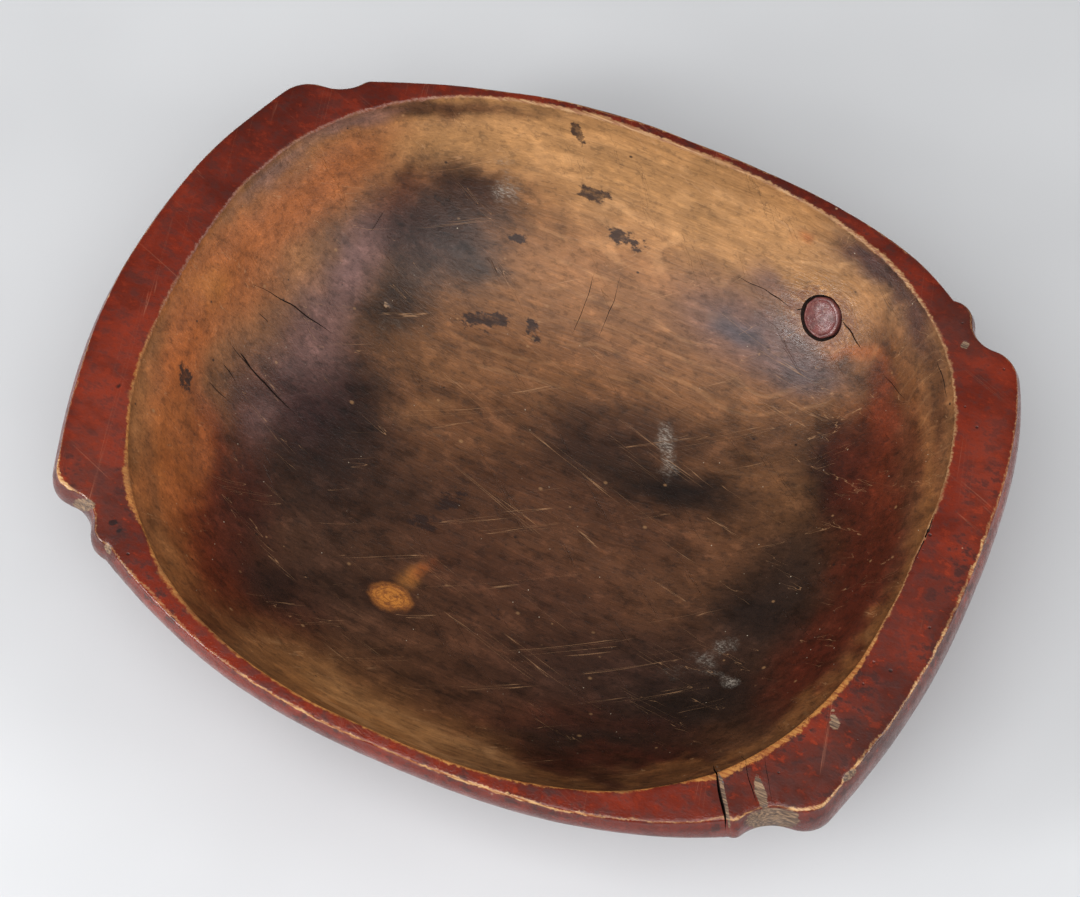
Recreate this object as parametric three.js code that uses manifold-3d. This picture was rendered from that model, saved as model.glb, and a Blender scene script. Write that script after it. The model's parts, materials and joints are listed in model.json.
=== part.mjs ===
// Painted wooden trough: a wide oval bowl hollowed out of one block of wood, with a shouldered
// ledge handle at each end, and a whittled plug that stops a knot hole in its far wall.
// Millimetres. +X runs along the trough, +Y to the wall with the plug, +Z up.
// The origin is the middle of the flat underside.
import * as THREE from 'three';
import { mergeVertices } from 'three/addons/utils/BufferGeometryUtils.js';
import Module from 'manifold-3d';

// The block. The rim's outline is its top edge, and the outer face swells a little beyond it.
const RIM_LENGTH = 598;
const RIM_WIDTH = 490;
const HEIGHT = 145;

// The rim seen from above. Each corner was cut by eye, so each has sizes of its own. A handle's
// corner lies inset from the end line and half a handle's width from the middle, and the end's
// curve meets it at cornerAngle. A cove, whose middle lies a notch's length from the end, sweeps
// round by coveAngle into a small bead, and the side's curve leaves the bead at sideAngle, past
// its crown by beadAngle. The hollow's edge nearby is an oval of hollowExponent. Lengths are in
// millimetres and angles in degrees.
const CORNERS = {
  rightFar: {
    inset: 23, handle: 178, corner: 21.5, cornerAngle: 25.5,
    notch: 48, cove: 18.5, coveAngle: 74, bead: 16, beadAngle: 11, sideAngle: 35.5,
    hollowExponent: 2.71,
  },
  leftFar: {
    inset: 31, handle: 179.5, corner: 28, cornerAngle: 25,
    notch: 56.5, cove: 28.5, coveAngle: 58, bead: 11, beadAngle: -17, sideAngle: 23,
    hollowExponent: 2.45,
  },
  leftNear: {
    inset: 30.5, handle: 169, corner: 19.5, cornerAngle: 19.5,
    notch: 53.5, cove: 22, coveAngle: 70, bead: 16, beadAngle: -1, sideAngle: 28,
    hollowExponent: 2.38,
  },
  rightNear: {
    inset: 24, handle: 176, corner: 22, cornerAngle: 16.5,
    notch: 42.5, cove: 30, coveAngle: 66, bead: 7, beadAngle: -1, sideAngle: 31.5,
    hollowExponent: 2.56,
  },
};
const RIM_EASE = 2.8;

// The outside below the rim: the edge's outer face, the handles' undersides and the hull.
const SIDE_EDGE_HEIGHT = 15;
const RIGHT_HANDLE_HEIGHT = 26;
const LEFT_HANDLE_HEIGHT = 20;
const SIDE_SWELL = 1.5;
const HANDLE_SWELL = 3.6;
const SIDE_ROOT_DROP = 9;
const HANDLE_ROOT_DROP = 12;
const HANDLE_REACH = 40;
const HANDLE_FULL_ANGLE = 27;
const HANDLE_END_ANGLE = 57;
const SIDE_OVERHANG = 1.6;
const ROOT_EXPONENT = 2.8;
const HULL_LEAN_ANGLE_SIDE = 23;
const HULL_LEAN_ANGLE_END = 30;

// The flat underside.
const BASE_LENGTH = 288;
const BASE_WIDTH = 216;
const BASE_EXPONENT = 2.3;
const BASE_RISE_ANGLE = 22;

// The hollow. Its upper edge is a steep band, which the long sweep of the wall starts below.
const SIDE_RIM_WIDTH = 11;
const END_RIM_WIDTH = 39.5;
const FLOOR_THICKNESS = 25;
const WIDEST_LINE_OFFSET = 14;
const BAND_HEIGHT = 22;
const BAND_INSET_SIDE = 8;
const BAND_INSET_END = 16;
const WALL_ANGLE_SIDE = 62;
const WALL_ANGLE_END = 57;

// The plug and its hole, nearly square to the wall: seen from above they are turned by the skew.
const PLUG_BEARING_ANGLE = 52;
const PLUG_DEPTH = 57;
const PLUG_SKEW_ANGLE = 6;
const PLUG_RADIUS = 14.8;
const PLUG_TAIL_RADIUS = 12.6;
const PLUG_TAIL_CHAMFER = 1.2;
const PLUG_STANDS_IN = 3.6;
const PLUG_STANDS_OUT = 2;
const PLUG_DOME = 0.8;
const PLUG_RING_WIDTH = 2.2;
const PLUG_RING_STEP = 1.1;
const PLUG_RING_DRAFT = 0.3;
const PLUG_EDGE_CHAMFER = 0.8;
const HOLE_MOUTH_GAP = 1.6;
const HOLE_SEAT_GAP = 0.4;
const HOLE_RUN_OUT = 15;

// How full the swept curves are: the share of the way from a curve's end to its corner.
const OUTLINE_SHARE = 0.72;
const WALL_SHARE = 0.83;
const FLOOR_SHARE = 0.71;
const HULL_SHARE = 0.58;

// Where a bent surface turns: its share of the way in, and its share of the way down.
const UNDERSIDE_IN_SHARE = 0.06;
const UNDERSIDE_DOWN_SHARE = 0.85;
const BAND_IN_SHARE = 0.4;
const BAND_DOWN_SHARE = 0.55;
// The middle of a quarter round lies this share of its radius in from both its sides.
const ROUND_MIDDLE_SHARE = 1 - Math.SQRT1_2;

// How finely the curves are cut into facets.
const END_STEPS = 10;
const CORNER_STEPS = 5;
const SIDE_STEPS = 12;
const HOLLOW_STEPS = 120;
const WALL_STEPS = 12;
const FACE_STEPS = 3;
const UNDERSIDE_STEPS = 4;
const HULL_STEPS = 9;
const PLUG_STEPS = 24;
const DOME_STEPS = 2;

// How far a cutter stands out of what it cuts, and how close two vertices are when they are one.
const CUT_CLEAR = 5;
const WELD_EPSILON = 1e-4;

// The wall's slope beside the plug is read over a short way along it and a short way down it.
const WALL_SAMPLES = 400;
const SLOPE_ANGLE_STEP = 1;
const SLOPE_DEPTH_STEP = 6;

const mix = THREE.MathUtils.lerp;
const radians = THREE.MathUtils.degToRad;

const wasm = await Module();
wasm.setup();

function solidOf(geometry) {
  const bare = geometry.clone();
  bare.deleteAttribute('normal');
  bare.deleteAttribute('uv');
  const merged = mergeVertices(bare, WELD_EPSILON);
  const vertProperties = new Float32Array(merged.attributes.position.array);
  const triVerts = new Uint32Array(merged.index.array);
  return new wasm.Manifold(new wasm.Mesh({ numProp: 3, vertProperties, triVerts }));
}

function geometryOf(solid) {
  const mesh = solid.getMesh();
  const geometry = new THREE.BufferGeometry();
  geometry.setAttribute('position', new THREE.BufferAttribute(mesh.vertProperties, 3));
  geometry.setIndex(new THREE.BufferAttribute(mesh.triVerts, 1));
  geometry.computeVertexNormals();
  return geometry;
}

// Skins a stack of rings, from the top ring down, and closes both ends with a fan.
// Every ring has the same number of points, counterclockwise from above.
function loft(rings) {
  const count = rings[0].length;
  const points = rings.flat();
  const faces = [];
  for (let ring = 0; ring < rings.length - 1; ring += 1) {
    for (let i = 0; i < count; i += 1) {
      const next = (i + 1) % count;
      const a = ring * count + i;
      const b = ring * count + next;
      faces.push(a, a + count, b, a + count, b + count, b);
    }
  }
  for (const ring of [rings[0], rings.at(-1)]) {
    const middle = new THREE.Vector3();
    ring.forEach((point) => middle.addScaledVector(point, 1 / count));
    const hub = points.push(middle) - 1;
    const first = ring === rings[0] ? 0 : (rings.length - 1) * count;
    for (let i = 0; i < count; i += 1) {
      const here = first + i;
      const next = first + ((i + 1) % count);
      faces.push(hub, first === 0 ? here : next, first === 0 ? next : here);
    }
  }
  const geometry = new THREE.BufferGeometry().setFromPoints(points);
  geometry.setIndex(faces);
  return geometry;
}

// The distance from its middle to a superellipse, in the direction of a bearing.
function ovalRadius(bearing, halfLength, halfWidth, exponent) {
  const along = Math.abs(Math.cos(bearing) / halfLength) ** exponent;
  const across = Math.abs(Math.sin(bearing) / halfWidth) ** exponent;
  return (along + across) ** (-1 / exponent);
}

// A curve between two points that leaves and arrives along lines to a shared corner.
function sweep(start, corner, end, startShare, endShare) {
  const leave = start.clone().lerp(corner, startShare);
  const arrive = end.clone().lerp(corner, endShare);
  return new THREE.CubicBezierCurve(start, leave, arrive, end);
}

function arc(centre, radius, from, to, steps) {
  const { x, y } = centre;
  return new THREE.EllipseCurve(x, y, radius, radius, from, to, to < from).getPoints(steps);
}

function onCircle(centre, radius, bearing) {
  return new THREE.Vector2(radius * Math.cos(bearing), radius * Math.sin(bearing)).add(centre);
}

// One quarter of the rim's outline as if it lay at +X, +Y: the end's curve, the handle's corner,
// its straight flank, the cove, the bead and the side's curve.
function quarterOutline(sizes) {
  const { inset, handle, corner, notch, cove, bead } = sizes;
  const upright = Math.PI / 2;
  const cornerStart = radians(sizes.cornerAngle);
  const sideAngle = radians(sizes.sideAngle);
  const coveEnd = -upright - radians(sizes.coveAngle);
  const beadEnd = upright + radians(sizes.beadAngle);

  const endMiddle = new THREE.Vector2(RIM_LENGTH / 2, 0);
  const cornerCentre = new THREE.Vector2(RIM_LENGTH / 2 - inset - corner, handle - corner);
  const endStop = onCircle(cornerCentre, corner, cornerStart);
  const endReach = endStop.y - (endMiddle.x - endStop.x) / Math.tan(cornerStart);
  const endCorner = new THREE.Vector2(endMiddle.x, endReach);

  const coveCentre = new THREE.Vector2(RIM_LENGTH / 2 - notch, handle + cove);
  const beadCentre = onCircle(coveCentre, cove + bead, coveEnd);

  const sideMiddle = new THREE.Vector2(0, RIM_WIDTH / 2);
  const sideStart = onCircle(beadCentre, bead, beadEnd);
  const sideReach = sideStart.x - (sideMiddle.y - sideStart.y) / Math.tan(sideAngle);
  const sideCorner = new THREE.Vector2(sideReach, sideMiddle.y);

  const endCurve = sweep(endMiddle, endCorner, endStop, OUTLINE_SHARE, OUTLINE_SHARE);
  const sideCurve = sweep(sideStart, sideCorner, sideMiddle, OUTLINE_SHARE, OUTLINE_SHARE);
  return [
    ...endCurve.getPoints(END_STEPS),
    ...arc(cornerCentre, corner, cornerStart, upright, CORNER_STEPS).slice(1),
    ...arc(coveCentre, cove, -upright, coveEnd, CORNER_STEPS),
    ...arc(beadCentre, bead, coveEnd + Math.PI, beadEnd, CORNER_STEPS).slice(1),
    ...sideCurve.getPoints(SIDE_STEPS).slice(1),
  ];
}

// The whole outline, counterclockwise from the right end. Neighbouring quarters share a point.
function rimOutline() {
  const quarter = (sizes, alongX, alongY) => {
    const points = quarterOutline(sizes).map(({ x, y }) => new THREE.Vector2(x * alongX, y * alongY));
    return alongX === alongY ? points : points.reverse();
  };
  const quarters = [
    quarter(CORNERS.rightFar, 1, 1),
    quarter(CORNERS.leftFar, -1, 1),
    quarter(CORNERS.leftNear, -1, -1),
    quarter(CORNERS.rightNear, 1, -1),
  ];
  return quarters.flatMap((points) => points.slice(0, -1));
}

// How much of a handle a bearing meets: none at the sides and all of it at the ends.
function handleShareAt(bearing) {
  const full = Math.cos(radians(HANDLE_FULL_ANGLE)) ** 2;
  const none = Math.cos(radians(HANDLE_END_ANGLE)) ** 2;
  return THREE.MathUtils.smoothstep(Math.cos(bearing) ** 2, none, full);
}

// The outer face of the edge: eased over at the rim, and swelling out to its lower end.
function edgeFace(rimRadius, faceRadius, edgeZ) {
  const easeMiddle = RIM_EASE * ROUND_MIDDLE_SHARE;
  const top = new THREE.Vector2(rimRadius, HEIGHT - RIM_EASE);
  const belly = new THREE.Vector2(faceRadius, (top.y + edgeZ) / 2);
  const bottom = new THREE.Vector2(faceRadius, edgeZ);
  return [
    new THREE.Vector2(rimRadius - RIM_EASE, HEIGHT),
    new THREE.Vector2(rimRadius - easeMiddle, HEIGHT - easeMiddle),
    ...new THREE.QuadraticBezierCurve(top, belly, bottom).getPoints(FACE_STEPS),
  ];
}

// The outside's profile below one point of the outline, as (distance from the middle, height).
function hullProfile(bearing, rimRadius) {
  const rootLength = RIM_LENGTH / 2 - HANDLE_REACH;
  const rootWidth = RIM_WIDTH / 2 - SIDE_OVERHANG;
  const rootOval = ovalRadius(bearing, rootLength, rootWidth, ROOT_EXPONENT);
  const rootRadius = Math.min(rootOval, rimRadius - SIDE_OVERHANG);
  const handleShare = handleShareAt(bearing);
  const handleHeight = Math.cos(bearing) > 0 ? RIGHT_HANDLE_HEIGHT : LEFT_HANDLE_HEIGHT;
  const edgeZ = HEIGHT - mix(SIDE_EDGE_HEIGHT, handleHeight, handleShare);
  const rootZ = edgeZ - mix(SIDE_ROOT_DROP, HANDLE_ROOT_DROP, handleShare);
  const faceRadius = rimRadius + mix(SIDE_SWELL, HANDLE_SWELL, handleShare);

  // The underside of the edge: rounded at its outer corner, then a shallow slope in to the root.
  const edge = new THREE.Vector2(faceRadius, edgeZ);
  const root = new THREE.Vector2(rootRadius, rootZ);
  const turn = new THREE.Vector2(
    mix(faceRadius, rootRadius, UNDERSIDE_IN_SHARE),
    mix(edgeZ, rootZ, UNDERSIDE_DOWN_SHARE),
  );
  const underside = new THREE.QuadraticBezierCurve(edge, turn, root).getPoints(UNDERSIDE_STEPS);

  // The hull: where the line that leans in from the root meets the line that rises from the base.
  const lean = radians(mix(HULL_LEAN_ANGLE_SIDE, HULL_LEAN_ANGLE_END, Math.cos(bearing) ** 2));
  const rise = radians(BASE_RISE_ANGLE);
  const baseRadius = ovalRadius(bearing, BASE_LENGTH / 2, BASE_WIDTH / 2, BASE_EXPONENT);
  const base = new THREE.Vector2(baseRadius, 0);
  const run = rootRadius - baseRadius;
  const cornerZ = (run - rootZ * Math.tan(lean)) / (1 / Math.tan(rise) - Math.tan(lean));
  const corner = new THREE.Vector2(baseRadius + cornerZ / Math.tan(rise), cornerZ);
  const hull = sweep(root, corner, base, HULL_SHARE, HULL_SHARE).getPoints(HULL_STEPS);

  const face = edgeFace(rimRadius, faceRadius, edgeZ);
  return [...face, ...underside.slice(1), ...hull.slice(1)];
}

// The block as it is before hollowing: the outline's profiles joined into rings.
function blankGeometry() {
  const profiles = rimOutline().map((point) => {
    const bearing = point.angle();
    const spot = ({ x, y }) => new THREE.Vector3(x * Math.cos(bearing), x * Math.sin(bearing), y);
    return hullProfile(bearing, point.length()).map(spot);
  });
  return loft(profiles[0].map((_, row) => profiles.map((profile) => profile[row])));
}

// The hollow's plan about its widest line, which is offset, so its far half is the shallower.
function hollowRadius(bearing) {
  const far = Math.sin(bearing) > 0;
  const right = Math.cos(bearing) > 0;
  const offset = far ? WIDEST_LINE_OFFSET : -WIDEST_LINE_OFFSET;
  const halfLength = RIM_LENGTH / 2 - END_RIM_WIDTH;
  const halfWidth = RIM_WIDTH / 2 - SIDE_RIM_WIDTH - offset;
  const { hollowExponent } = CORNERS[(right ? 'right' : 'left') + (far ? 'Far' : 'Near')];
  return ovalRadius(bearing, halfLength, halfWidth, hollowExponent);
}

// The wall's sweep at a bearing, as (distance in from the rim, depth below it).
function wallCurve(bearing) {
  const endShare = Math.cos(bearing) ** 2;
  const depth = HEIGHT - FLOOR_THICKNESS;
  const start = new THREE.Vector2(mix(BAND_INSET_SIDE, BAND_INSET_END, endShare), BAND_HEIGHT);
  const slope = radians(mix(WALL_ANGLE_SIDE, WALL_ANGLE_END, endShare));
  const corner = new THREE.Vector2(start.x + (depth - start.y) / Math.tan(slope), depth);
  const end = new THREE.Vector2(hollowRadius(bearing), depth);
  return sweep(start, corner, end, WALL_SHARE, FLOOR_SHARE);
}

// A point of the hollow's surface, from its bearing and (distance in from the rim, depth).
function hollowPoint(bearing, { x: inset, y: depth }) {
  const radius = hollowRadius(bearing) - inset;
  return new THREE.Vector3(
    radius * Math.cos(bearing),
    WIDEST_LINE_OFFSET + radius * Math.sin(bearing),
    HEIGHT - depth,
  );
}

function hollowGeometry() {
  const stations = Array.from({ length: HOLLOW_STEPS }, (_, i) => (i / HOLLOW_STEPS) * 2 * Math.PI);
  const profiles = stations.map((bearing) => {
    const wall = wallCurve(bearing);
    const band = wall.v0;
    const section = [
      new THREE.Vector2(-RIM_EASE, -CUT_CLEAR),
      new THREE.Vector2(-RIM_EASE, 0),
      new THREE.Vector2(0, RIM_EASE),
      new THREE.Vector2(band.x * BAND_IN_SHARE, band.y * BAND_DOWN_SHARE),
      ...wall.getPoints(WALL_STEPS).slice(0, -1),
    ];
    return section.map((place) => hollowPoint(bearing, place));
  });
  return loft(profiles[0].map((_, row) => profiles.map((profile) => profile[row])));
}

// The point of the wall at a bearing and a depth below the rim.
function wallPoint(bearing, depth) {
  const place = wallCurve(bearing).getPoints(WALL_SAMPLES).find(({ y }) => y >= depth);
  return hollowPoint(bearing, place);
}

// Where the plug sits in the wall, and the way it points, into the hollow.
function plugSeat() {
  const bearing = radians(PLUG_BEARING_ANGLE);
  const seat = wallPoint(bearing, PLUG_DEPTH);
  const turn = radians(SLOPE_ANGLE_STEP);
  const along = wallPoint(bearing + turn, PLUG_DEPTH).sub(wallPoint(bearing - turn, PLUG_DEPTH));
  const above = wallPoint(bearing, PLUG_DEPTH - SLOPE_DEPTH_STEP);
  const down = wallPoint(bearing, PLUG_DEPTH + SLOPE_DEPTH_STEP).sub(above);
  const square = along.cross(down).normalize();
  const skew = -radians(PLUG_SKEW_ANGLE);
  return { seat, inward: square.applyAxisAngle(new THREE.Vector3(0, 0, 1), skew) };
}

// The thickness of the wall behind the plug: the way out through the blank.
function wallThickness(blank, { seat, inward }) {
  const skin = new THREE.Mesh(blank, new THREE.MeshBasicMaterial({ side: THREE.BackSide }));
  const ray = new THREE.Raycaster(seat, inward.clone().negate());
  return ray.intersectObject(skin)[0].distance;
}

// The plug from tail to face along +Y, with the wall's surface at y = 0: a tapered pin whose
// domed face stands on a stepped ring.
function plugGeometry(thickness) {
  const tail = -thickness - PLUG_STANDS_OUT;
  const ringOuter = PLUG_RADIUS - PLUG_RING_DRAFT;
  const ringInner = PLUG_RADIUS - PLUG_RING_WIDTH;
  const ringTop = PLUG_STANDS_IN - PLUG_RING_STEP;
  const faceRadius = ringInner - PLUG_EDGE_CHAMFER;
  const dome = Array.from({ length: DOME_STEPS + 1 }, (_, step) => {
    const share = 1 - step / DOME_STEPS;
    return new THREE.Vector2(faceRadius * share, PLUG_STANDS_IN + PLUG_DOME * (1 - share ** 2));
  });
  const profile = [
    new THREE.Vector2(0, tail),
    new THREE.Vector2(PLUG_TAIL_RADIUS - PLUG_TAIL_CHAMFER, tail),
    new THREE.Vector2(PLUG_TAIL_RADIUS, tail + PLUG_TAIL_CHAMFER),
    new THREE.Vector2(PLUG_RADIUS, 0),
    new THREE.Vector2(ringOuter, ringTop - PLUG_EDGE_CHAMFER),
    new THREE.Vector2(ringOuter - PLUG_EDGE_CHAMFER, ringTop),
    new THREE.Vector2(ringInner, ringTop),
    ...dome,
  ];
  return new THREE.LatheGeometry(profile, PLUG_STEPS);
}

// The hole follows the plug's taper, with a gap that narrows from its mouth to its seat.
function holeGeometry(thickness) {
  const seatRadius = PLUG_TAIL_RADIUS + HOLE_SEAT_GAP;
  const mouthRadius = PLUG_RADIUS + HOLE_MOUTH_GAP;
  const tail = -thickness - PLUG_STANDS_OUT;
  const radiusAt = (y) => mix(mouthRadius, seatRadius, y / tail);
  const top = HOLE_RUN_OUT;
  const bottom = tail - HOLE_RUN_OUT;
  const profile = [
    new THREE.Vector2(0, bottom),
    new THREE.Vector2(radiusAt(bottom), bottom),
    new THREE.Vector2(radiusAt(top), top),
    new THREE.Vector2(0, top),
  ];
  return new THREE.LatheGeometry(profile, PLUG_STEPS);
}

const blank = blankGeometry();
const plug = plugSeat();
const thickness = wallThickness(blank, plug);
const upright = new THREE.Vector3(0, 1, 0);
const plugTurn = new THREE.Quaternion().setFromUnitVectors(upright, plug.inward);

const hole = holeGeometry(thickness);
hole.applyQuaternion(plugTurn);
hole.translate(plug.seat.x, plug.seat.y, plug.seat.z);
const body = solidOf(blank).subtract(solidOf(hollowGeometry())).subtract(solidOf(hole));

const paint = new THREE.MeshStandardMaterial({ color: 0x7a2e20, roughness: 0.55, metalness: 0 });
const troughBody = new THREE.Mesh(geometryOf(body), paint);
troughBody.name = 'trough_body';

const darkWood = new THREE.MeshStandardMaterial({ color: 0x6b3431, roughness: 0.45, metalness: 0 });
const knotPlug = new THREE.Mesh(plugGeometry(thickness), darkWood);
knotPlug.name = 'knot_plug';
knotPlug.position.copy(plug.seat);
knotPlug.quaternion.copy(plugTurn);

const trough = new THREE.Group();
trough.add(troughBody, knotPlug);

export default trough;
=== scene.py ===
# Looks for the painted wooden trough: the block with its worn red paint, the bare stained hollow
# with its drying cracks, and the whittled plug in its knot hole. Lengths are in millimetres until
# a mesh is made, in the CAD's frame: +X along the trough, +Y to the wall with the plug, +Z up.
import json
import math

import bpy
import numpy as np
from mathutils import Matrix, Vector, noise


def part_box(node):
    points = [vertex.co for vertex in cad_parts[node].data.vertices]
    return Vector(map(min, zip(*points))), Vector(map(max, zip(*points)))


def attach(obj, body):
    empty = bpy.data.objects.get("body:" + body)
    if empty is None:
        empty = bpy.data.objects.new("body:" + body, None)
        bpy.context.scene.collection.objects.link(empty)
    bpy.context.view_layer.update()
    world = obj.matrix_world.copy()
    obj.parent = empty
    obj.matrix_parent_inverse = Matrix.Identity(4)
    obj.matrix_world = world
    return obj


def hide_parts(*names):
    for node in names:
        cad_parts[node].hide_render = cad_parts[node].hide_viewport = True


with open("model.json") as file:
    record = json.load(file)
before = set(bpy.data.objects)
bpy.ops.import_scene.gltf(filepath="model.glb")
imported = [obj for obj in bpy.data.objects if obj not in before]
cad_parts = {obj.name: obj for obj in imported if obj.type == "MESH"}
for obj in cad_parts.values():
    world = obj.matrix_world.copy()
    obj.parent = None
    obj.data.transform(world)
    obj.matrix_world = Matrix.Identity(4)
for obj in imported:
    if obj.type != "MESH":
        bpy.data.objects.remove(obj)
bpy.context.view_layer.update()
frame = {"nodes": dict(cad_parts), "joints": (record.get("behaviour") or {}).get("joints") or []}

MM = 0.001
body_low, body_high = (np.array(corner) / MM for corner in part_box("trough_body"))

# The CAD's driving sizes. The rim's length and width and the height come from its box.
SIDE_SWELL = 1.5
HANDLE_SWELL = 3.6
RIM_LENGTH = body_high[0] - body_low[0] - 2 * HANDLE_SWELL
RIM_WIDTH = body_high[1] - body_low[1] - 2 * SIDE_SWELL
HEIGHT = body_high[2]
RIM_EASE = 2.8
SIDE_EDGE_HEIGHT = 15
RIGHT_HANDLE_HEIGHT = 26
LEFT_HANDLE_HEIGHT = 20
SIDE_ROOT_DROP = 9
HANDLE_ROOT_DROP = 12
HANDLE_REACH = 40
HANDLE_FULL_ANGLE = 27
HANDLE_END_ANGLE = 57
SIDE_OVERHANG = 1.6
ROOT_EXPONENT = 2.8
HULL_LEAN_SIDE = 23
HULL_LEAN_END = 30
BASE_LENGTH = 288
BASE_WIDTH = 216
BASE_EXPONENT = 2.3
BASE_RISE = 22
SIDE_RIM_WIDTH = 11
END_RIM_WIDTH = 39.5
FLOOR_THICKNESS = 25
WIDEST_LINE_OFFSET = 14
BAND_HEIGHT = 22
BAND_INSET_SIDE = 8
BAND_INSET_END = 16
WALL_ANGLE_SIDE = 62
WALL_ANGLE_END = 57
OUTLINE_SHARE = 0.72
WALL_SHARE = 0.83
FLOOR_SHARE = 0.71
HULL_SHARE = 0.58
UNDERSIDE_IN_SHARE = 0.06
UNDERSIDE_DOWN_SHARE = 0.85
BAND_IN_SHARE = 0.4
BAND_DOWN_SHARE = 0.55
BAND_TURN_SHARE = 0.96
QUARTERS = {
    "right_far": dict(
        side=(1, 1), inset=23, handle=178, corner=21.5, corner_angle=25.5, notch=48,
        cove=18.5, cove_angle=74, bead=16, bead_angle=11, side_angle=35.5, exponent=2.71,
    ),
    "left_far": dict(
        side=(-1, 1), inset=31, handle=179.5, corner=28, corner_angle=25, notch=56.5,
        cove=28.5, cove_angle=58, bead=11, bead_angle=-17, side_angle=23, exponent=2.45,
    ),
    "left_near": dict(
        side=(-1, -1), inset=30.5, handle=169, corner=19.5, corner_angle=19.5, notch=53.5,
        cove=22, cove_angle=70, bead=16, bead_angle=-1, side_angle=28, exponent=2.38,
    ),
    "right_near": dict(
        side=(1, -1), inset=24, handle=176, corner=22, corner_angle=16.5, notch=42.5,
        cove=30, cove_angle=66, bead=7, bead_angle=-1, side_angle=31.5, exponent=2.56,
    ),
}

# The plug, along its axis from the hollow's surface at the seat.
PLUG_RADIUS = 14.8
PLUG_TAIL_RADIUS = 12.6
PLUG_TAIL_CHAMFER = 1.2
PLUG_STANDS_IN = 3.6
PLUG_DOME = 0.8
PLUG_RING_WIDTH = 2.2
PLUG_RING_STEP = 1.1
PLUG_EDGE_CHAMFER = 0.8
HOLE_RUN_OUT = 15

# How finely the visible mesh is cut.
END_STEPS = 50
CORNER_STEPS = 14
FLANK_STEPS = 4
BEAD_STEPS = 9
SIDE_STEPS = 88
WALL_STEPS = 46
BAND_STEPS = 5
RIM_STEPS = 14
EASE_STEPS = 4
FACE_STEPS = 7
UNDERSIDE_STEPS = 5
HULL_STEPS = 20
BASE_SHARES = (0.992, 0.9, 0.7, 0.45, 0.2)

# The photograph's camera: its frame and focal length in pixels, its place and its aim.
FRAME_WIDTH = 1080
FRAME_HEIGHT = 897
FOCAL_PIXELS = 2984.68
SENSOR_WIDTH = 36
CAMERA_PLACE = np.array([380.82, -812.8, 1859.7])
CAMERA_AIM = np.array([-0.19134748, 0.41406312, -0.88990891])
CAMERA_RIGHT = np.cross(CAMERA_AIM, [0, 0, 1])
CAMERA_RIGHT = CAMERA_RIGHT / np.linalg.norm(CAMERA_RIGHT)
CAMERA_UP = np.cross(CAMERA_RIGHT, CAMERA_AIM)
PIXEL_MM = 0.66


def mix(a, b, share):
    return a + (b - a) * share


def smoothstep(low, high, x):
    share = np.clip((x - low) / (high - low), 0, 1)
    return share * share * (3 - 2 * share)


def unit(vectors):
    return vectors / np.maximum(np.linalg.norm(vectors, axis=-1, keepdims=True), 1e-9)


def bezier(controls, steps):
    """Points of a Bezier curve, first axis along it; a control may be an array of points."""
    points = [np.asarray(control, float)[None] for control in controls]
    t = np.linspace(0, 1, steps + 1).reshape((-1,) + (1,) * (points[0].ndim - 1))
    while len(points) > 1:
        points = [mix(a, b, t) for a, b in zip(points, points[1:])]
    return points[0]


def sweep(start, corner, end, start_share, end_share, steps):
    leave = mix(start, corner, start_share)
    arrive = mix(end, corner, end_share)
    return bezier([start, leave, arrive, end], steps)


def spokes(bearing):
    return np.stack([np.cos(bearing), np.sin(bearing)], -1)


def on_circle(centre, radius, bearing):
    return centre + radius * spokes(bearing)


def oval_radius(bearing, half_length, half_width, exponent):
    along = np.abs(np.cos(bearing) / half_length) ** exponent
    across = np.abs(np.sin(bearing) / half_width) ** exponent
    return (along + across) ** (-1 / exponent)


def quarter_outline(q):
    """One quarter of the rim's outline as if it lay at +X, +Y."""
    upright = math.pi / 2
    corner_start = math.radians(q["corner_angle"])
    side_angle = math.radians(q["side_angle"])
    cove_end = -upright - math.radians(q["cove_angle"])
    bead_end = upright + math.radians(q["bead_angle"])
    end_middle = np.array([RIM_LENGTH / 2, 0.0])
    corner_centre = np.array([RIM_LENGTH / 2 - q["inset"] - q["corner"], q["handle"] - q["corner"]])
    end_stop = on_circle(corner_centre, q["corner"], corner_start)
    end_reach = end_stop[1] - (end_middle[0] - end_stop[0]) / math.tan(corner_start)
    cove_centre = np.array([RIM_LENGTH / 2 - q["notch"], q["handle"] + q["cove"]])
    bead_centre = on_circle(cove_centre, q["cove"] + q["bead"], cove_end)
    side_middle = np.array([0.0, RIM_WIDTH / 2])
    side_start = on_circle(bead_centre, q["bead"], bead_end)
    side_reach = side_start[0] - (side_middle[1] - side_start[1]) / math.tan(side_angle)
    share = OUTLINE_SHARE
    end_corner = np.array([end_middle[0], end_reach])
    side_corner = np.array([side_reach, side_middle[1]])
    overlap = max(0, q["inset"] + q["corner"] - q["notch"])
    corner_stop = upright - math.asin(overlap / 2 / q["corner"])
    cove_start = -upright - math.asin(overlap / 2 / q["cove"])
    corner_turn = np.linspace(corner_start, corner_stop, CORNER_STEPS + 1)
    cove_turn = np.linspace(cove_start, cove_end, CORNER_STEPS + 1)
    bead_turn = np.linspace(cove_end + math.pi, bead_end, BEAD_STEPS + 1)
    flank = mix(
        on_circle(corner_centre, q["corner"], corner_stop),
        on_circle(cove_centre, q["cove"], cove_start),
        np.linspace(0, 1, FLANK_STEPS + 1)[1:, None],
    )
    return np.vstack([
        sweep(end_middle, end_corner, end_stop, share, share, END_STEPS),
        on_circle(corner_centre, q["corner"], corner_turn[1:]),
        flank[: 0 if overlap else None],
        on_circle(cove_centre, q["cove"], cove_turn[1:]),
        on_circle(bead_centre, q["bead"], bead_turn[1:]),
        sweep(side_start, side_corner, side_middle, share, share, SIDE_STEPS)[1:],
    ])


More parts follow.
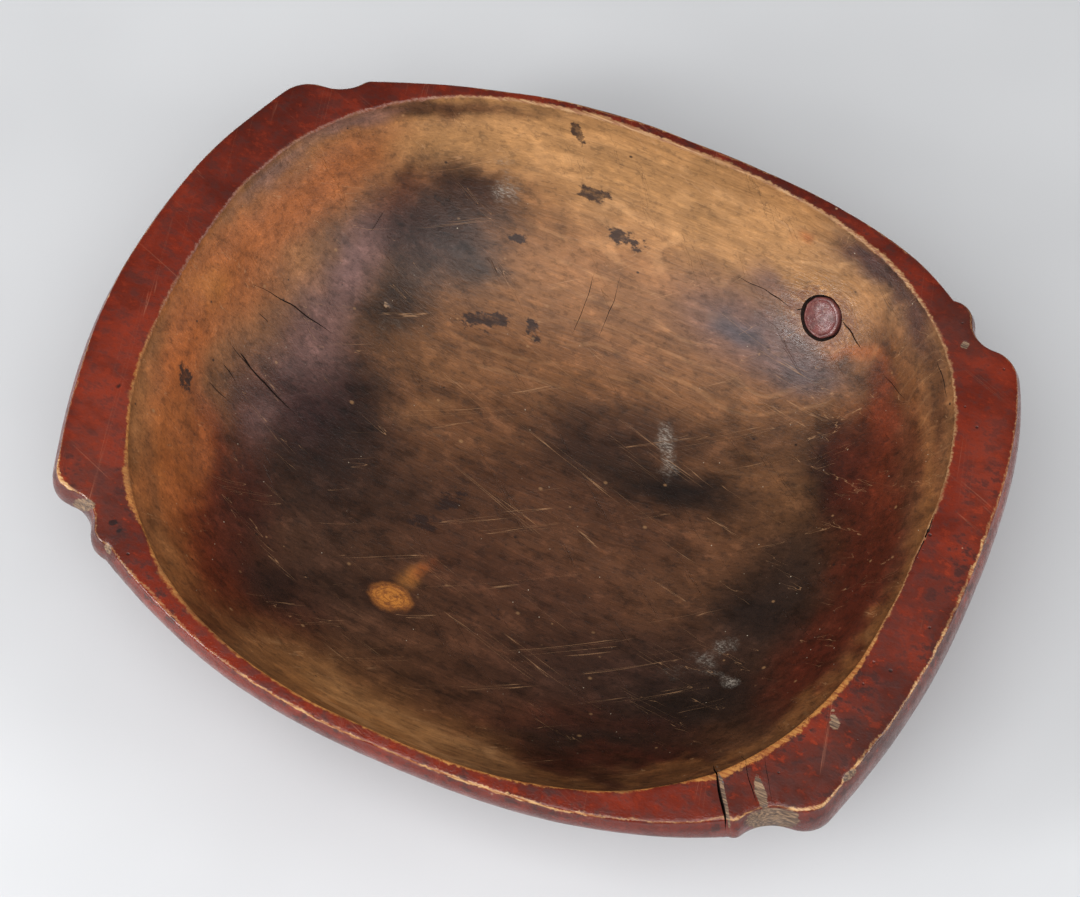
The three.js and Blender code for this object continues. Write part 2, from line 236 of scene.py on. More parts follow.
def rim_outline():
    quarters = []
    for q in QUARTERS.values():
        points = quarter_outline(q) * q["side"]
        if q["side"][0] != q["side"][1]:
            points = points[::-1]
        quarters.append(points[:-1])
    return np.vstack(quarters)


def hollow_radius(bearing):
    """The hollow's plan at the rim, about its widest line, which is offset to the far side."""
    far = np.sin(bearing) > 0
    right = np.cos(bearing) > 0
    offset = np.where(far, WIDEST_LINE_OFFSET, -WIDEST_LINE_OFFSET)
    half_length = RIM_LENGTH / 2 - END_RIM_WIDTH
    half_width = RIM_WIDTH / 2 - SIDE_RIM_WIDTH - offset
    exponent = np.select(
        [right & far, ~right & far, ~right & ~far],
        [QUARTERS[name]["exponent"] for name in ("right_far", "left_far", "left_near")],
        QUARTERS["right_near"]["exponent"],
    )
    return oval_radius(bearing, half_length, half_width, exponent)


def wall_section(bearing, steps):
    """The hollow's section below its edge as (distance in from the rim, depth), from the top."""
    bearing = np.asarray(bearing)
    end_share = np.cos(bearing) ** 2
    depth = np.full_like(end_share, HEIGHT - FLOOR_THICKNESS)
    start_inset = mix(BAND_INSET_SIDE, BAND_INSET_END, end_share)
    slope = np.radians(mix(WALL_ANGLE_SIDE, WALL_ANGLE_END, end_share))
    start = np.stack([start_inset, np.full_like(depth, BAND_HEIGHT)], -1)
    corner = np.stack([start_inset + (depth - BAND_HEIGHT) / np.tan(slope), depth], -1)
    end = np.stack([hollow_radius(bearing), depth], -1)
    edge = np.stack([np.zeros_like(depth), np.full_like(depth, RIM_EASE)], -1)
    turn = start * [BAND_IN_SHARE, BAND_DOWN_SHARE]
    band = bezier([edge, turn * BAND_TURN_SHARE, start], BAND_STEPS)
    return np.vstack([band, sweep(start, corner, end, WALL_SHARE, FLOOR_SHARE, steps)[1:]])


def handle_share(bearing):
    full = math.cos(math.radians(HANDLE_FULL_ANGLE)) ** 2
    none = math.cos(math.radians(HANDLE_END_ANGLE)) ** 2
    return smoothstep(none, full, np.cos(bearing) ** 2)


def placed(bearing, radius, z):
    return np.concatenate([radius[:, None] * spokes(bearing), z[:, None]], 1)


def face_edge(bearing):
    """Height of the face's lower edge."""
    handle_height = np.where(np.cos(bearing) > 0, RIGHT_HANDLE_HEIGHT, LEFT_HANDLE_HEIGHT)
    return HEIGHT - mix(SIDE_EDGE_HEIGHT, handle_height, handle_share(bearing))


def outside_rings(outline):
    """The outside below the rim's eased edge, ring by ring down to the underside's edge."""
    bearing = np.arctan2(outline[:, 1], outline[:, 0])
    rim_radius = np.hypot(*outline.T)
    face_radius = rim_radius + mix(SIDE_SWELL, HANDLE_SWELL, handle_share(bearing))
    edge_z = face_edge(bearing)
    top_z = np.full_like(edge_z, HEIGHT - RIM_EASE)
    top = placed(bearing, rim_radius, top_z)
    belly = placed(bearing, face_radius, (top_z + edge_z) / 2)
    edge = placed(bearing, face_radius, edge_z)
    face = bezier([top, belly, edge], FACE_STEPS)

    root_length = RIM_LENGTH / 2 - HANDLE_REACH
    root_width = RIM_WIDTH / 2 - SIDE_OVERHANG
    root_radius = oval_radius(bearing, root_length, root_width, ROOT_EXPONENT)
    root_radius = np.minimum(root_radius, rim_radius - SIDE_OVERHANG)
    root_z = face_edge(bearing) - mix(SIDE_ROOT_DROP, HANDLE_ROOT_DROP, handle_share(bearing))
    root = placed(bearing, root_radius, root_z)
    turn = edge + (root - edge) * [UNDERSIDE_IN_SHARE, UNDERSIDE_IN_SHARE, UNDERSIDE_DOWN_SHARE]
    underside = bezier([edge, turn, root], UNDERSIDE_STEPS)

    lean = np.radians(mix(HULL_LEAN_SIDE, HULL_LEAN_END, np.cos(bearing) ** 2))
    rise = math.radians(BASE_RISE)
    base_radius = oval_radius(bearing, BASE_LENGTH / 2, BASE_WIDTH / 2, BASE_EXPONENT)
    run = root_radius - base_radius
    corner_z = (run - root_z * np.tan(lean)) / (1 / math.tan(rise) - np.tan(lean))
    corner = placed(bearing, base_radius + corner_z / math.tan(rise), corner_z)
    base = placed(bearing, base_radius, np.zeros_like(base_radius))
    hull = sweep(root, corner, base, HULL_SHARE, HULL_SHARE, HULL_STEPS)
    return np.vstack([face, underside[1:], hull[1:]])


def quarter_round(share):
    """How far in from the face and down from the top an eased edge is, from its top round."""
    turn = share * math.pi / 2
    return 1 - math.sin(turn), 1 - math.cos(turn)


# The hollow's depth, looked up by bearing and by the share of the way out to its edge.
LOOKUP_BEARINGS = 720
LOOKUP_SHARES = 240
LOOKUP_STEPS = 160


def depth_lookup():
    bearings = np.arange(LOOKUP_BEARINGS) / LOOKUP_BEARINGS * 2 * math.pi
    section = wall_section(bearings, LOOKUP_STEPS)
    radius = hollow_radius(bearings)
    shares = np.linspace(0, 1, LOOKUP_SHARES + 1)
    rows = []
    for i in range(LOOKUP_BEARINGS):
        place = 1 - section[:, i, 0] / radius[i]
        rows.append(np.interp(shares, place[::-1], section[::-1, i, 1]))
    return np.array(rows)


DEPTHS = depth_lookup()


def floor_height(x, y):
    """Height of the hollow's smooth surface at points of the plan."""
    bearing = np.arctan2(y - WIDEST_LINE_OFFSET, x) % (2 * math.pi)
    share = np.hypot(x, y - WIDEST_LINE_OFFSET) / hollow_radius(bearing)
    row = bearing / (2 * math.pi) * LOOKUP_BEARINGS
    column = np.clip(share, 0, 1) * LOOKUP_SHARES
    row_low = np.floor(row).astype(int) % LOOKUP_BEARINGS
    row_high = (row_low + 1) % LOOKUP_BEARINGS
    column_low = np.minimum(np.floor(column).astype(int), LOOKUP_SHARES - 1)
    row_share = row - np.floor(row)
    column_share = column - column_low
    near = mix(DEPTHS[row_low, column_low], DEPTHS[row_low, column_low + 1], column_share)
    far = mix(DEPTHS[row_high, column_low], DEPTHS[row_high, column_low + 1], column_share)
    return np.where(share > 1, HEIGHT, HEIGHT - mix(near, far, row_share))


# How far to each side of a point the hollow's slope is taken, in mm.
SLOPE_REACH = 1.5


def floor_normal(x, y):
    run = 2 * SLOPE_REACH
    slope_x = (floor_height(x + SLOPE_REACH, y) - floor_height(x - SLOPE_REACH, y)) / run
    slope_y = (floor_height(x, y + SLOPE_REACH) - floor_height(x, y - SLOPE_REACH)) / run
    return unit(np.stack([-slope_x, -slope_y, np.ones_like(slope_x)], -1))


RAY_STEPS = 1200


def under_pixel(px, py):
    """The point of the rim's top or of the hollow that a pixel of the photograph shows."""
    right = (px - FRAME_WIDTH / 2) * CAMERA_RIGHT
    up = (FRAME_HEIGHT / 2 - py) * CAMERA_UP
    ray = unit(FOCAL_PIXELS * CAMERA_AIM + right + up)
    heights = np.linspace(HEIGHT, FLOOR_THICKNESS, RAY_STEPS)
    points = CAMERA_PLACE + ray * ((heights - CAMERA_PLACE[2]) / ray[2])[:, None]
    below = points[:, 2] <= floor_height(points[:, 0], points[:, 1]) + 1e-6
    return points[np.argmax(below)]


WOBBLE_SHIFT = Vector((17.3, 9.1, 5.7))
CELL_SHIFT = Vector((3.1, 7.7, 1.9))


def wobble(points, size, seed):
    """Smooth noise from about -1 to 1, with bumps of a size in mm, or one size per axis."""
    shift = WOBBLE_SHIFT * seed
    scaled = np.asarray(points) / size
    return np.array([noise.noise(Vector(p) + shift) for p in scaled])


def uneven(points, marks):
    """Smooth noises added up: the size of each one's bumps, their height in mm, and its seed."""
    return sum(height * wobble(points, size, seed) for size, height, seed in marks)


def cells(points, size, seed):
    """Distance from the middle of the nearest cell, in cells of a size in mm."""
    shift = CELL_SHIFT * seed
    scaled = np.asarray(points) / size
    return np.array([noise.voronoi(Vector(p) + shift)[0][0] for p in scaled])


# Dents placed on the photograph: pixel, then radius and depth in mm (below zero it stands proud).
DENTS = (
    (965, 345, 7, 0.9),
    (120, 386, 5, 0.6),
    (835, 723, 5, 1.0),
    (850, 776, 8, 1.2),
    (761, 794, 9, 0.9),
    (107, 549, 6, 0.8),
    (386, 303, 3, 0.5),
    (505, 195, 14, 0.5),
    (665, 450, 16, 0.6),
    (393, 597, 16, -0.9),
    (393, 597, 7, 0.5),
    (720, 672, 22, 0.5),
    (355, 255, 30, 0.5),
    (250, 250, 24, 0.7),
    (905, 430, 22, 0.6),
    (900, 590, 20, 0.7),
    (860, 660, 20, 0.8),
    (180, 460, 24, 0.6),
)


def outline_normals(outline):
    run = np.roll(outline, -1, axis=0) - np.roll(outline, 1, axis=0)
    return unit(np.stack([run[:, 1], -run[:, 0]], 1))


def grid_rows(outline):
    """Rings of the whole surface, from the floor's middle out over the rim to the underside."""
    bearing = np.arctan2(outline[:, 1] - WIDEST_LINE_OFFSET, outline[:, 0])
    spoke = spokes(bearing)
    edge_radius = hollow_radius(bearing)[:, None]
    middle = np.array([0, WIDEST_LINE_OFFSET])
    outward = outline_normals(outline)

    def ring(plan, z):
        return np.concatenate([plan, np.broadcast_to(z, (len(plan), 1))], 1)

    rows = {"hollow": [], "rim": []}
    for inset, depth in np.moveaxis(wall_section(bearing, WALL_STEPS), -1, 1)[:-1][::-1]:
        plan = middle + (edge_radius - inset[:, None]) * spoke
        rows["hollow"].append(ring(plan, (HEIGHT - depth)[:, None]))
    for step in range(1, EASE_STEPS + 1):
        away, down = quarter_round(1 - step / EASE_STEPS)
        plan = middle + (edge_radius + RIM_EASE * away) * spoke
        rows["rim"].append(ring(plan, HEIGHT - RIM_EASE * down))
    inner_edge = rows["rim"][-1][:, :2]
    outer_edge = outline - RIM_EASE * outward
    for step in range(1, RIM_STEPS + 1):
        rows["rim"].append(ring(mix(inner_edge, outer_edge, step / RIM_STEPS), HEIGHT))
    for step in range(1, EASE_STEPS):
        away, down = quarter_round(step / EASE_STEPS)
        rows["rim"].append(ring(outline - RIM_EASE * away * outward, HEIGHT - RIM_EASE * down))
    rows["outside"] = list(outside_rings(outline))
    rows["base"] = [rows["outside"][-1] * [share, share, 1] for share in BASE_SHARES]
    return rows


def grid_normals(grid):
    """Normals of a grid of rings that point out of the wood."""
    across = np.gradient(grid, axis=0)
    around = np.roll(grid, -1, axis=1) - np.roll(grid, 1, axis=1)
    return unit(np.cross(across, around))


DISTANCE_BATCH = 4000


def outline_distance(points):
    """How far inside the rim's outline each point lies, in the plan."""
    outline = rim_outline()
    run = np.roll(outline, -1, axis=0) - outline
    length = (run**2).sum(1)
    distances = []
    for first in range(0, len(points), DISTANCE_BATCH):
        spot = points[first : first + DISTANCE_BATCH, None, :2] - outline
        share = np.clip((spot * run).sum(2) / length, 0, 1)
        away = spot - share[..., None] * run
        distances.append(np.sqrt((away**2).sum(2).min(1)))
    return np.concatenate(distances)


# The rim is this uneven, its outer edge is rubbed down this much over this reach, and the worn
# rim passes into the walls over the last of these. All are in mm.
RIM_SINK = 0.3
RIM_MARKS = ((34, 0.28, 4), (7, 0.12, 5))
EDGE_WEAR = 1.0
EDGE_MARKS = ((45, 0.5, 9),)
EDGE_WEAR_REACH = 4.5
EDGE_BLEND = 8
# The hollow's tool strokes run along the log, and a shallow lip runs round it below the rim.
STROKE_MARKS = ((np.array([70, 26, 26]), 0.55, 1), (16, 0.16, 2))
LIP_DROP = 15
LIP_MARKS = ((60, 4, 3),)
LIP_WIDTH = 2.2
LIP_DEPTH = 0.55
# The outside is scooped between its face and its foot.
SCOOP_SIZE = np.array([42, 30, 26])
SCOOP_DEPTH = 1.3
SCOOP_SINK = 0.7
SCOOP_DROPS = (17, 52)
HULL_MARKS = ((55, 0.5, 7), (12, 0.18, 8))
FACE_SHARE = 0.35
FOOT_BLEND = 6
DENT_SOFTNESS = 2.2


def worn(points):
    """How uneven the rim is: never above the smooth form, so it stays inside the CAD's box."""
    return RIM_SINK + uneven(points, RIM_MARKS)


def rubbed(points, away):
    """How far the outer edge is rubbed down at points some way from it."""
    wear = EDGE_WEAR * (1 + uneven(points, EDGE_MARKS))
    return wear * np.exp(-((away / EDGE_WEAR_REACH) ** 2))


def carve(grid, zone):
    """How far each point sinks below the smooth form, from tools, wear and dents."""
    points = grid.reshape(-1, 3)
    sink = np.zeros(len(points))

    hollow = zone == "hollow"
    spots = points[hollow]
    drop = HEIGHT - spots[:, 2]
    lip = np.exp(-(((drop - LIP_DROP - uneven(spots, LIP_MARKS)) / LIP_WIDTH) ** 2))
    strokes = uneven(spots, STROKE_MARKS) + LIP_DEPTH * lip
    below = smoothstep(RIM_EASE, RIM_EASE + EDGE_BLEND, drop)
    sink[hollow] = mix(worn(spots), strokes, below)

    rim = zone == "rim"
    spots = points[rim]
    sink[rim] = worn(spots) + rubbed(spots, outline_distance(spots))

    outside = zone == "outside"
    spots = points[outside]
    drop = HEIGHT - RIM_EASE - spots[:, 2]
    scoops = SCOOP_SINK + SCOOP_DEPTH * (1 - np.minimum(cells(spots, SCOOP_SIZE, 6), 1) ** 2)
    rough = uneven(spots, HULL_MARKS)
    face = RIM_SINK + FACE_SHARE * rough
    sides = mix(face, scoops + rough, smoothstep(*SCOOP_DROPS, drop))
    sink[outside] = mix(worn(spots), sides, smoothstep(0, EDGE_BLEND, drop))
    sink[outside] += rubbed(spots, drop)
    sink[outside] *= smoothstep(0, FOOT_BLEND, spots[:, 2])

    inside = (zone != "base") & (zone != "outside")
    for px, py, radius, depth in DENTS:
        away = np.linalg.norm((points - under_pixel(px, py))[inside, :2], axis=1) / radius
        sink[inside] += depth * np.exp(-(away**2) * DENT_SOFTNESS)
    return sink.reshape(grid.shape[:2])


def round_ring(count):
    """The number of each point of a ring, and of the point that follows it."""
    here = np.arange(count)
    return here, (here + 1) % count


def ring_faces(rings, count, order):
    """Faces between neighbouring rings of points; order is how each goes round its corners."""
    here, following = round_ring(count)
    faces = []
    for first in range(0, (rings - 1) * count, count):
        second = first + count
        corners = np.stack([first + here, first + following, second + following, second + here])
        faces.extend(corners[order].T.tolist())
    return faces


def trough_mesh():
    """The whole block before its cracks and hole are cut, as vertices and faces."""
    outline = rim_outline()
    rows = grid_rows(outline)
    zone = np.repeat([name for name, rings in rows.items() for _ in rings], len(outline))
    grid = np.array([ring for rings in rows.values() for ring in rings])
    grid = grid - grid_normals(grid) * carve(grid, zone)[..., None]
    grid = np.clip(grid, body_low, body_high)
    floor_hub = np.array([0, WIDEST_LINE_OFFSET, grid[0, :, 2].mean()])
    base_hub = np.zeros(3)
    vertices = np.vstack([grid.reshape(-1, 3), floor_hub, base_hub])
    count = len(outline)
    faces = ring_faces(len(grid), count, [0, 3, 2, 1])
    here, following = round_ring(count)
    hub = len(vertices) - 2
    last = hub - count
    faces.extend([hub, int(i), int(j)] for i, j in zip(here, following))
    faces.extend([hub + 1, int(last + j), int(last + i)] for i, j in zip(here, following))
    return vertices, faces


def make_object(name, vertices, faces):
    mesh = bpy.data.meshes.new(name)
    mesh.from_pydata(np.asarray(vertices) * MM, [], faces)
    mesh.update()
    made = bpy.data.objects.new(name, mesh)
    bpy.context.scene.collection.objects.link(made)
    return made


def loft(rings):
    """Vertices and faces of a closed skin over rings, with its first and last ring capped."""
    rings = np.asarray(rings)
    count = rings.shape[1]
    faces = ring_faces(len(rings), count, [0, 1, 2, 3])
    last = (len(rings) - 1) * count
    faces.append(list(range(count))[::-1])
    faces.append(list(range(last, last + count)))
    return rings.reshape(-1, 3), faces


def cut(body, cutter):
    """Takes the cutter away from the body; the cut faces keep the cutter's material."""
    step = body.modifiers.new("cut", "BOOLEAN")
    step.operation = "DIFFERENCE"
    step.solver = "MANIFOLD"
    step.object = cutter
    step.material_mode = "TRANSFER"
    bpy.context.view_layer.update()
    evaluated = body.evaluated_get(bpy.context.evaluated_depsgraph_get())
    result = bpy.data.meshes.new_from_object(evaluated)
    body.modifiers.clear()
    old = body.data
    body.data = result
    bpy.data.meshes.remove(old)
    bpy.data.objects.remove(cutter)


# Drying cracks in the hollow: pixels along each, then its greatest width and depth in mm.
CRACKS = (
    (((250, 283), (268, 291), (292, 305), (335, 335)), 1.0, 4),
    (((228, 340), (240, 356), (262, 380), (296, 415)), 1.5, 5),
    (((222, 362), (230, 372), (237, 385)), 1.0, 3),
    (((208, 380), (219, 393), (230, 402)), 0.9, 3),
    (((258, 312), (270, 324)), 0.8, 2),
    (((240, 352), (246, 360), (251, 367)), 2.4, 4),
    (((735, 275), (762, 288), (780, 300), (793, 311)), 1.0, 4),
    (((795, 310), (800, 309), (806, 307)), 1.2, 4),
    (((840, 318), (850, 330), (856, 341), (862, 350)), 1.5, 5),
    (((880, 370), (892, 384), (905, 400)), 0.7, 2),
    (((936, 360), (943, 378), (947, 398)), 1.1, 4),
    (((595, 270), (588, 296), (572, 336)), 0.45, 1.5),
    (((622, 268), (614, 300), (598, 340)), 0.45, 1.5),
    (((934, 510), (926, 535), (910, 566)), 1.4, 5),
    (((370, 233), (378, 221), (386, 208)), 0.6, 2),
    (((713, 765), (717, 780), (721, 800), (726, 818), (730, 846)), 2.2, 18),
    (((740, 753), (748, 775), (757, 806)), 0.9, 4),
    (((764, 752), (768, 780), (774, 812)), 0.6, 2),
)
# The blade that cuts a crack stands this far out of the wood, has a point every so often, strays
# to each side, and swells and narrows along its way.
CRACK_LIFT = 1.2
CRACK_STEP = 3.0
CRACK_LEAST_STEPS = 6
CRACK_STRAY = 0.7
CRACK_STRAY_SIZE = 9
CRACK_SWELL = 0.8
CRACK_SWELL_RANGE = 0.4
CRACK_SWELL_SIZE = 11
CRACK_TAPER = 0.7
CRACK_POINT = 0.06
CRACK_SEED = 40
CRACK_SEED_STEP = 3


def along_pixels(pixels):
    """Evenly spaced points of the plan along a line of pixels."""
    places = np.array([under_pixel(*pixel)[:2] for pixel in pixels])
    runs = np.r_[0, np.cumsum(np.linalg.norm(np.diff(places, axis=0), axis=1))]
    at = np.linspace(0, runs[-1], max(CRACK_LEAST_STEPS, int(runs[-1] / CRACK_STEP)))
    return np.stack([np.interp(at, runs, places[:, axis]) for axis in (0, 1)], 1)


def crack_cutter(name, pixels, width, depth, seed):
    """A thin blade, pointed at both ends, that follows a crack along the hollow's surface."""
    plan = along_pixels(pixels)
    tangent = unit(np.gradient(plan, axis=0))
    side = np.stack([-tangent[:, 1], tangent[:, 0]], 1)
    spots = np.c_[plan, np.zeros(len(plan))]
    plan = plan + side * (CRACK_STRAY * wobble(spots, CRACK_STRAY_SIZE, seed))[:, None]
    surface = np.c_[plan, floor_height(plan[:, 0], plan[:, 1])]
    normal = floor_normal(plan[:, 0], plan[:, 1])
    tangent = unit(np.gradient(surface, axis=0))
    side = unit(np.cross(normal, tangent))
    share = np.linspace(0, 1, len(plan))
    swell = np.clip(np.sin(math.pi * share) ** CRACK_TAPER, CRACK_POINT, 1)
    change = CRACK_SWELL_RANGE * wobble(spots, CRACK_SWELL_SIZE, seed + 1)
    swell = swell * (CRACK_SWELL + change)
    half = (width / 2 * swell * (1 + CRACK_LIFT / depth))[:, None]
    top = surface + normal * CRACK_LIFT
    bottom = surface - normal * (depth * np.sqrt(swell))[:, None]
    rings = np.stack([top + side * half, top - side * half, bottom], 1)
    return make_object(name, *loft(rings))


# How far along the plug its tail's flat end counts, in mm.
TAIL_SLICE = 0.1


def plug_axis():
    """The plug's seat on the hollow's surface and its way in, from the joint and the node."""
    axis = unit(np.array(frame["joints"][0]["axis"], float))
    vertices = frame["nodes"]["knot_plug"].data.vertices
    points = np.array([v.co for v in vertices]) / MM
    places = points @ axis
    middle = points[places < places.min() + TAIL_SLICE].mean(0)
    seat = middle + axis * (places.max() - PLUG_STANDS_IN - PLUG_DOME - middle @ axis)
    return seat, axis, seat @ axis - places.min()


PLUG_SEAT, PLUG_WAY, PLUG_TAIL = plug_axis()
PLUG_SIDE = unit(np.cross([0, 0, 1], PLUG_WAY))
PLUG_UP = np.cross(PLUG_WAY, PLUG_SIDE)


def round_plug_axis(radius, angle, reach):
    """Points about the plug's axis at radii and angles, a reach in from its seat."""
    spoke = np.cos(angle)[:, None] * PLUG_SIDE + np.sin(angle)[:, None] * PLUG_UP
    return PLUG_SEAT + PLUG_WAY * reach + spoke * np.asarray(radius)[:, None]


# The hole: its gap round the plug's sides, and which way its broken mouth leans. Its rings are
# shares of the way out behind the wall, below zero, and of the way into the hollow.
HOLE_SEGMENTS = 72
HOLE_TIGHT_GAP = 0.12
TAPER_LIMITS = (-1, 1.4)
HOLE_LEAN = -CAMERA_RIGHT - 0.6 * CAMERA_UP
HOLE_REACHES = (-1, -0.75, -0.4, -0.2, -0.1, 0, 0.1, 0.35, 1)
# The broken mouth: how much wider it is than the plug, how much more on the side it leans to,
# how uneven, its least and its most, and from where to where along the plug it opens. In mm.
MOUTH_GAP = 1.2
MOUTH_LEAN = 1.1
MOUTH_MARKS = ((9, 0.5, 21), (4, 0.3, 22))
MOUTH_LIMITS = (0.2, 2.6)
MOUTH_OPENS = (-8, 1)


def hole_cutter():
    """The knot hole: it follows the plug's taper closely, and its broken mouth is wider."""
    angle = np.arange(HOLE_SEGMENTS) / HOLE_SEGMENTS * 2 * math.pi
    rings = []
    for share in HOLE_REACHES:
        reach = share * (PLUG_TAIL + HOLE_RUN_OUT) if share < 0 else share * HOLE_RUN_OUT
        taper = np.clip(-reach / PLUG_TAIL, *TAPER_LIMITS)
        radius = mix(PLUG_RADIUS, PLUG_TAIL_RADIUS, taper) + HOLE_TIGHT_GAP
        circle = round_plug_axis(np.full(HOLE_SEGMENTS, radius), angle, reach)
        lopsided = unit(circle - circle.mean(0)) @ unit(HOLE_LEAN)
        wide = MOUTH_GAP + MOUTH_LEAN * lopsided + uneven(circle, MOUTH_MARKS)
        mouth = smoothstep(*MOUTH_OPENS, reach) * np.clip(wide, *MOUTH_LIMITS)
        rings.append(round_plug_axis(radius + mouth, angle, reach))
    return make_object("knot_hole", *loft(rings))


PLUG_SEGMENTS = 96
SIDE_RINGS = 12
FACE_RINGS = 9
# The stepped ring and the edge of the face, as (radius, reach) about where each belongs.
RING_OUTSIDE = ((-0.3, -0.8), (-0.7, -0.2), (-1.3, 0))
RING_INSIDE = ((0.35, -0.05), (0, 0.1))
FACE_EDGE = ((-0.15, -0.5), (-0.4, -0.2))
RING_LEAN = 0.1
# The whittling: how deep the flats along its sides are, how many there are in a turn, where they
# start and how they twist, how uneven the sides are, the radii and the reaches over which all
# this sets in, and how uneven the knife-cut face is.
FLAT_DEPTH = 0.35
FLATS = 9
FLAT_START = 1
FLAT_TWIST = 0.02
WHITTLE_SINK = 0.3
WHITTLE_MARKS = ((7, 0.3, 31),)
WHITTLE_RADII = (3, 11)
WHITTLE_REACHES = (-6, 0)
KNIFE_SINK = 0.35
KNIFE_MARKS = ((8, 0.35, 32), (2.5, 0.12, 33))
KNIFE_DEPTH = 1.6


def plug_rows():
    """The plug's section from tail to face as (radius, reach), as the CAD has it but finer."""
    ring_inner = PLUG_RADIUS - PLUG_RING_WIDTH
    ring_top = PLUG_STANDS_IN - PLUG_RING_STEP
    face_radius = ring_inner - PLUG_EDGE_CHAMFER
    rows = [(PLUG_TAIL_RADIUS - PLUG_TAIL_CHAMFER, -PLUG_TAIL)]
    for share in np.arange(SIDE_RINGS + 1) / SIDE_RINGS:
        reach = mix(-PLUG_TAIL + PLUG_TAIL_CHAMFER, 0, share)
        rows.append((mix(PLUG_TAIL_RADIUS, PLUG_RADIUS, share), reach))
    rows.append((PLUG_RADIUS - RING_LEAN, ring_top / 2))
    rows += [(PLUG_RADIUS + out, ring_top + up) for out, up in RING_OUTSIDE]
    rows += [(ring_inner + out, ring_top + up) for out, up in RING_INSIDE]
    rows += [(ring_inner + out, PLUG_STANDS_IN + up) for out, up in FACE_EDGE]
    for step in range(FACE_RINGS):
        share = 1 - step / FACE_RINGS
        rows.append((face_radius * share, PLUG_STANDS_IN + PLUG_DOME * (1 - share**2)))
    return rows


def plug_object():
    """The plug, whittled: flats along its sides, an uneven ring and a knife-cut face."""
    angle = np.arange(PLUG_SEGMENTS) / PLUG_SEGMENTS * 2 * math.pi
    rings = []
    for radius, reach in plug_rows():
        circle = round_plug_axis(np.full(PLUG_SEGMENTS, radius), angle, reach)
        flats = np.abs(np.sin(FLATS / 2 * angle + FLAT_START + FLAT_TWIST * reach))
        whittled = FLAT_DEPTH * flats + WHITTLE_SINK + uneven(circle, WHITTLE_MARKS)
        edge = smoothstep(*WHITTLE_RADII, radius) * smoothstep(*WHITTLE_REACHES, reach)
        sunk = KNIFE_SINK + uneven(circle, KNIFE_MARKS)
        sunk = sunk * smoothstep(PLUG_STANDS_IN - KNIFE_DEPTH, PLUG_STANDS_IN, reach)
        shaved = round_plug_axis(radius - edge * whittled, angle, reach)
        rings.append(shaved - PLUG_WAY * sunk[:, None])
    return make_object("whittled_plug", *loft(rings))


def linear(channel):
    share = channel / 255
    return share / 12.92 if share <= 0.04045 else ((share + 0.055) / 1.055) ** 2.4


def tint(red, green, blue):
    """A colour as the photograph's 0 to 255 values, made linear."""
    return (linear(red), linear(green), linear(blue), 1)


HONEY = tint(180, 132, 84)
TAN = tint(146, 98, 58)
GOLD = tint(128, 82, 44)
AMBER = tint(170, 94, 44)
OCHRE = tint(192, 122, 52)
UMBER = tint(112, 72, 45)
BARK = tint(78, 48, 33)
SMOKE = tint(56, 37, 30)
CHAR = tint(30, 23, 21)
RUST = tint(120, 48, 24)
OXBLOOD = tint(74, 27, 17)
# Plum is a painted sheen: the glossy reflection of the lights on the hollow's walls, laid in as
# colour.
PLUM_SHEEN = tint(116, 84, 78)
WINE = tint(66, 42, 42)
# Slate is a painted sheen too; it greys the plum sheen round the plug.
SLATE_SHEEN = tint(72, 66, 72)
BRICK = tint(110, 36, 21)
DUSK = tint(82, 29, 21)
GRIME = tint(66, 45, 40)
CORAL = tint(140, 60, 42)
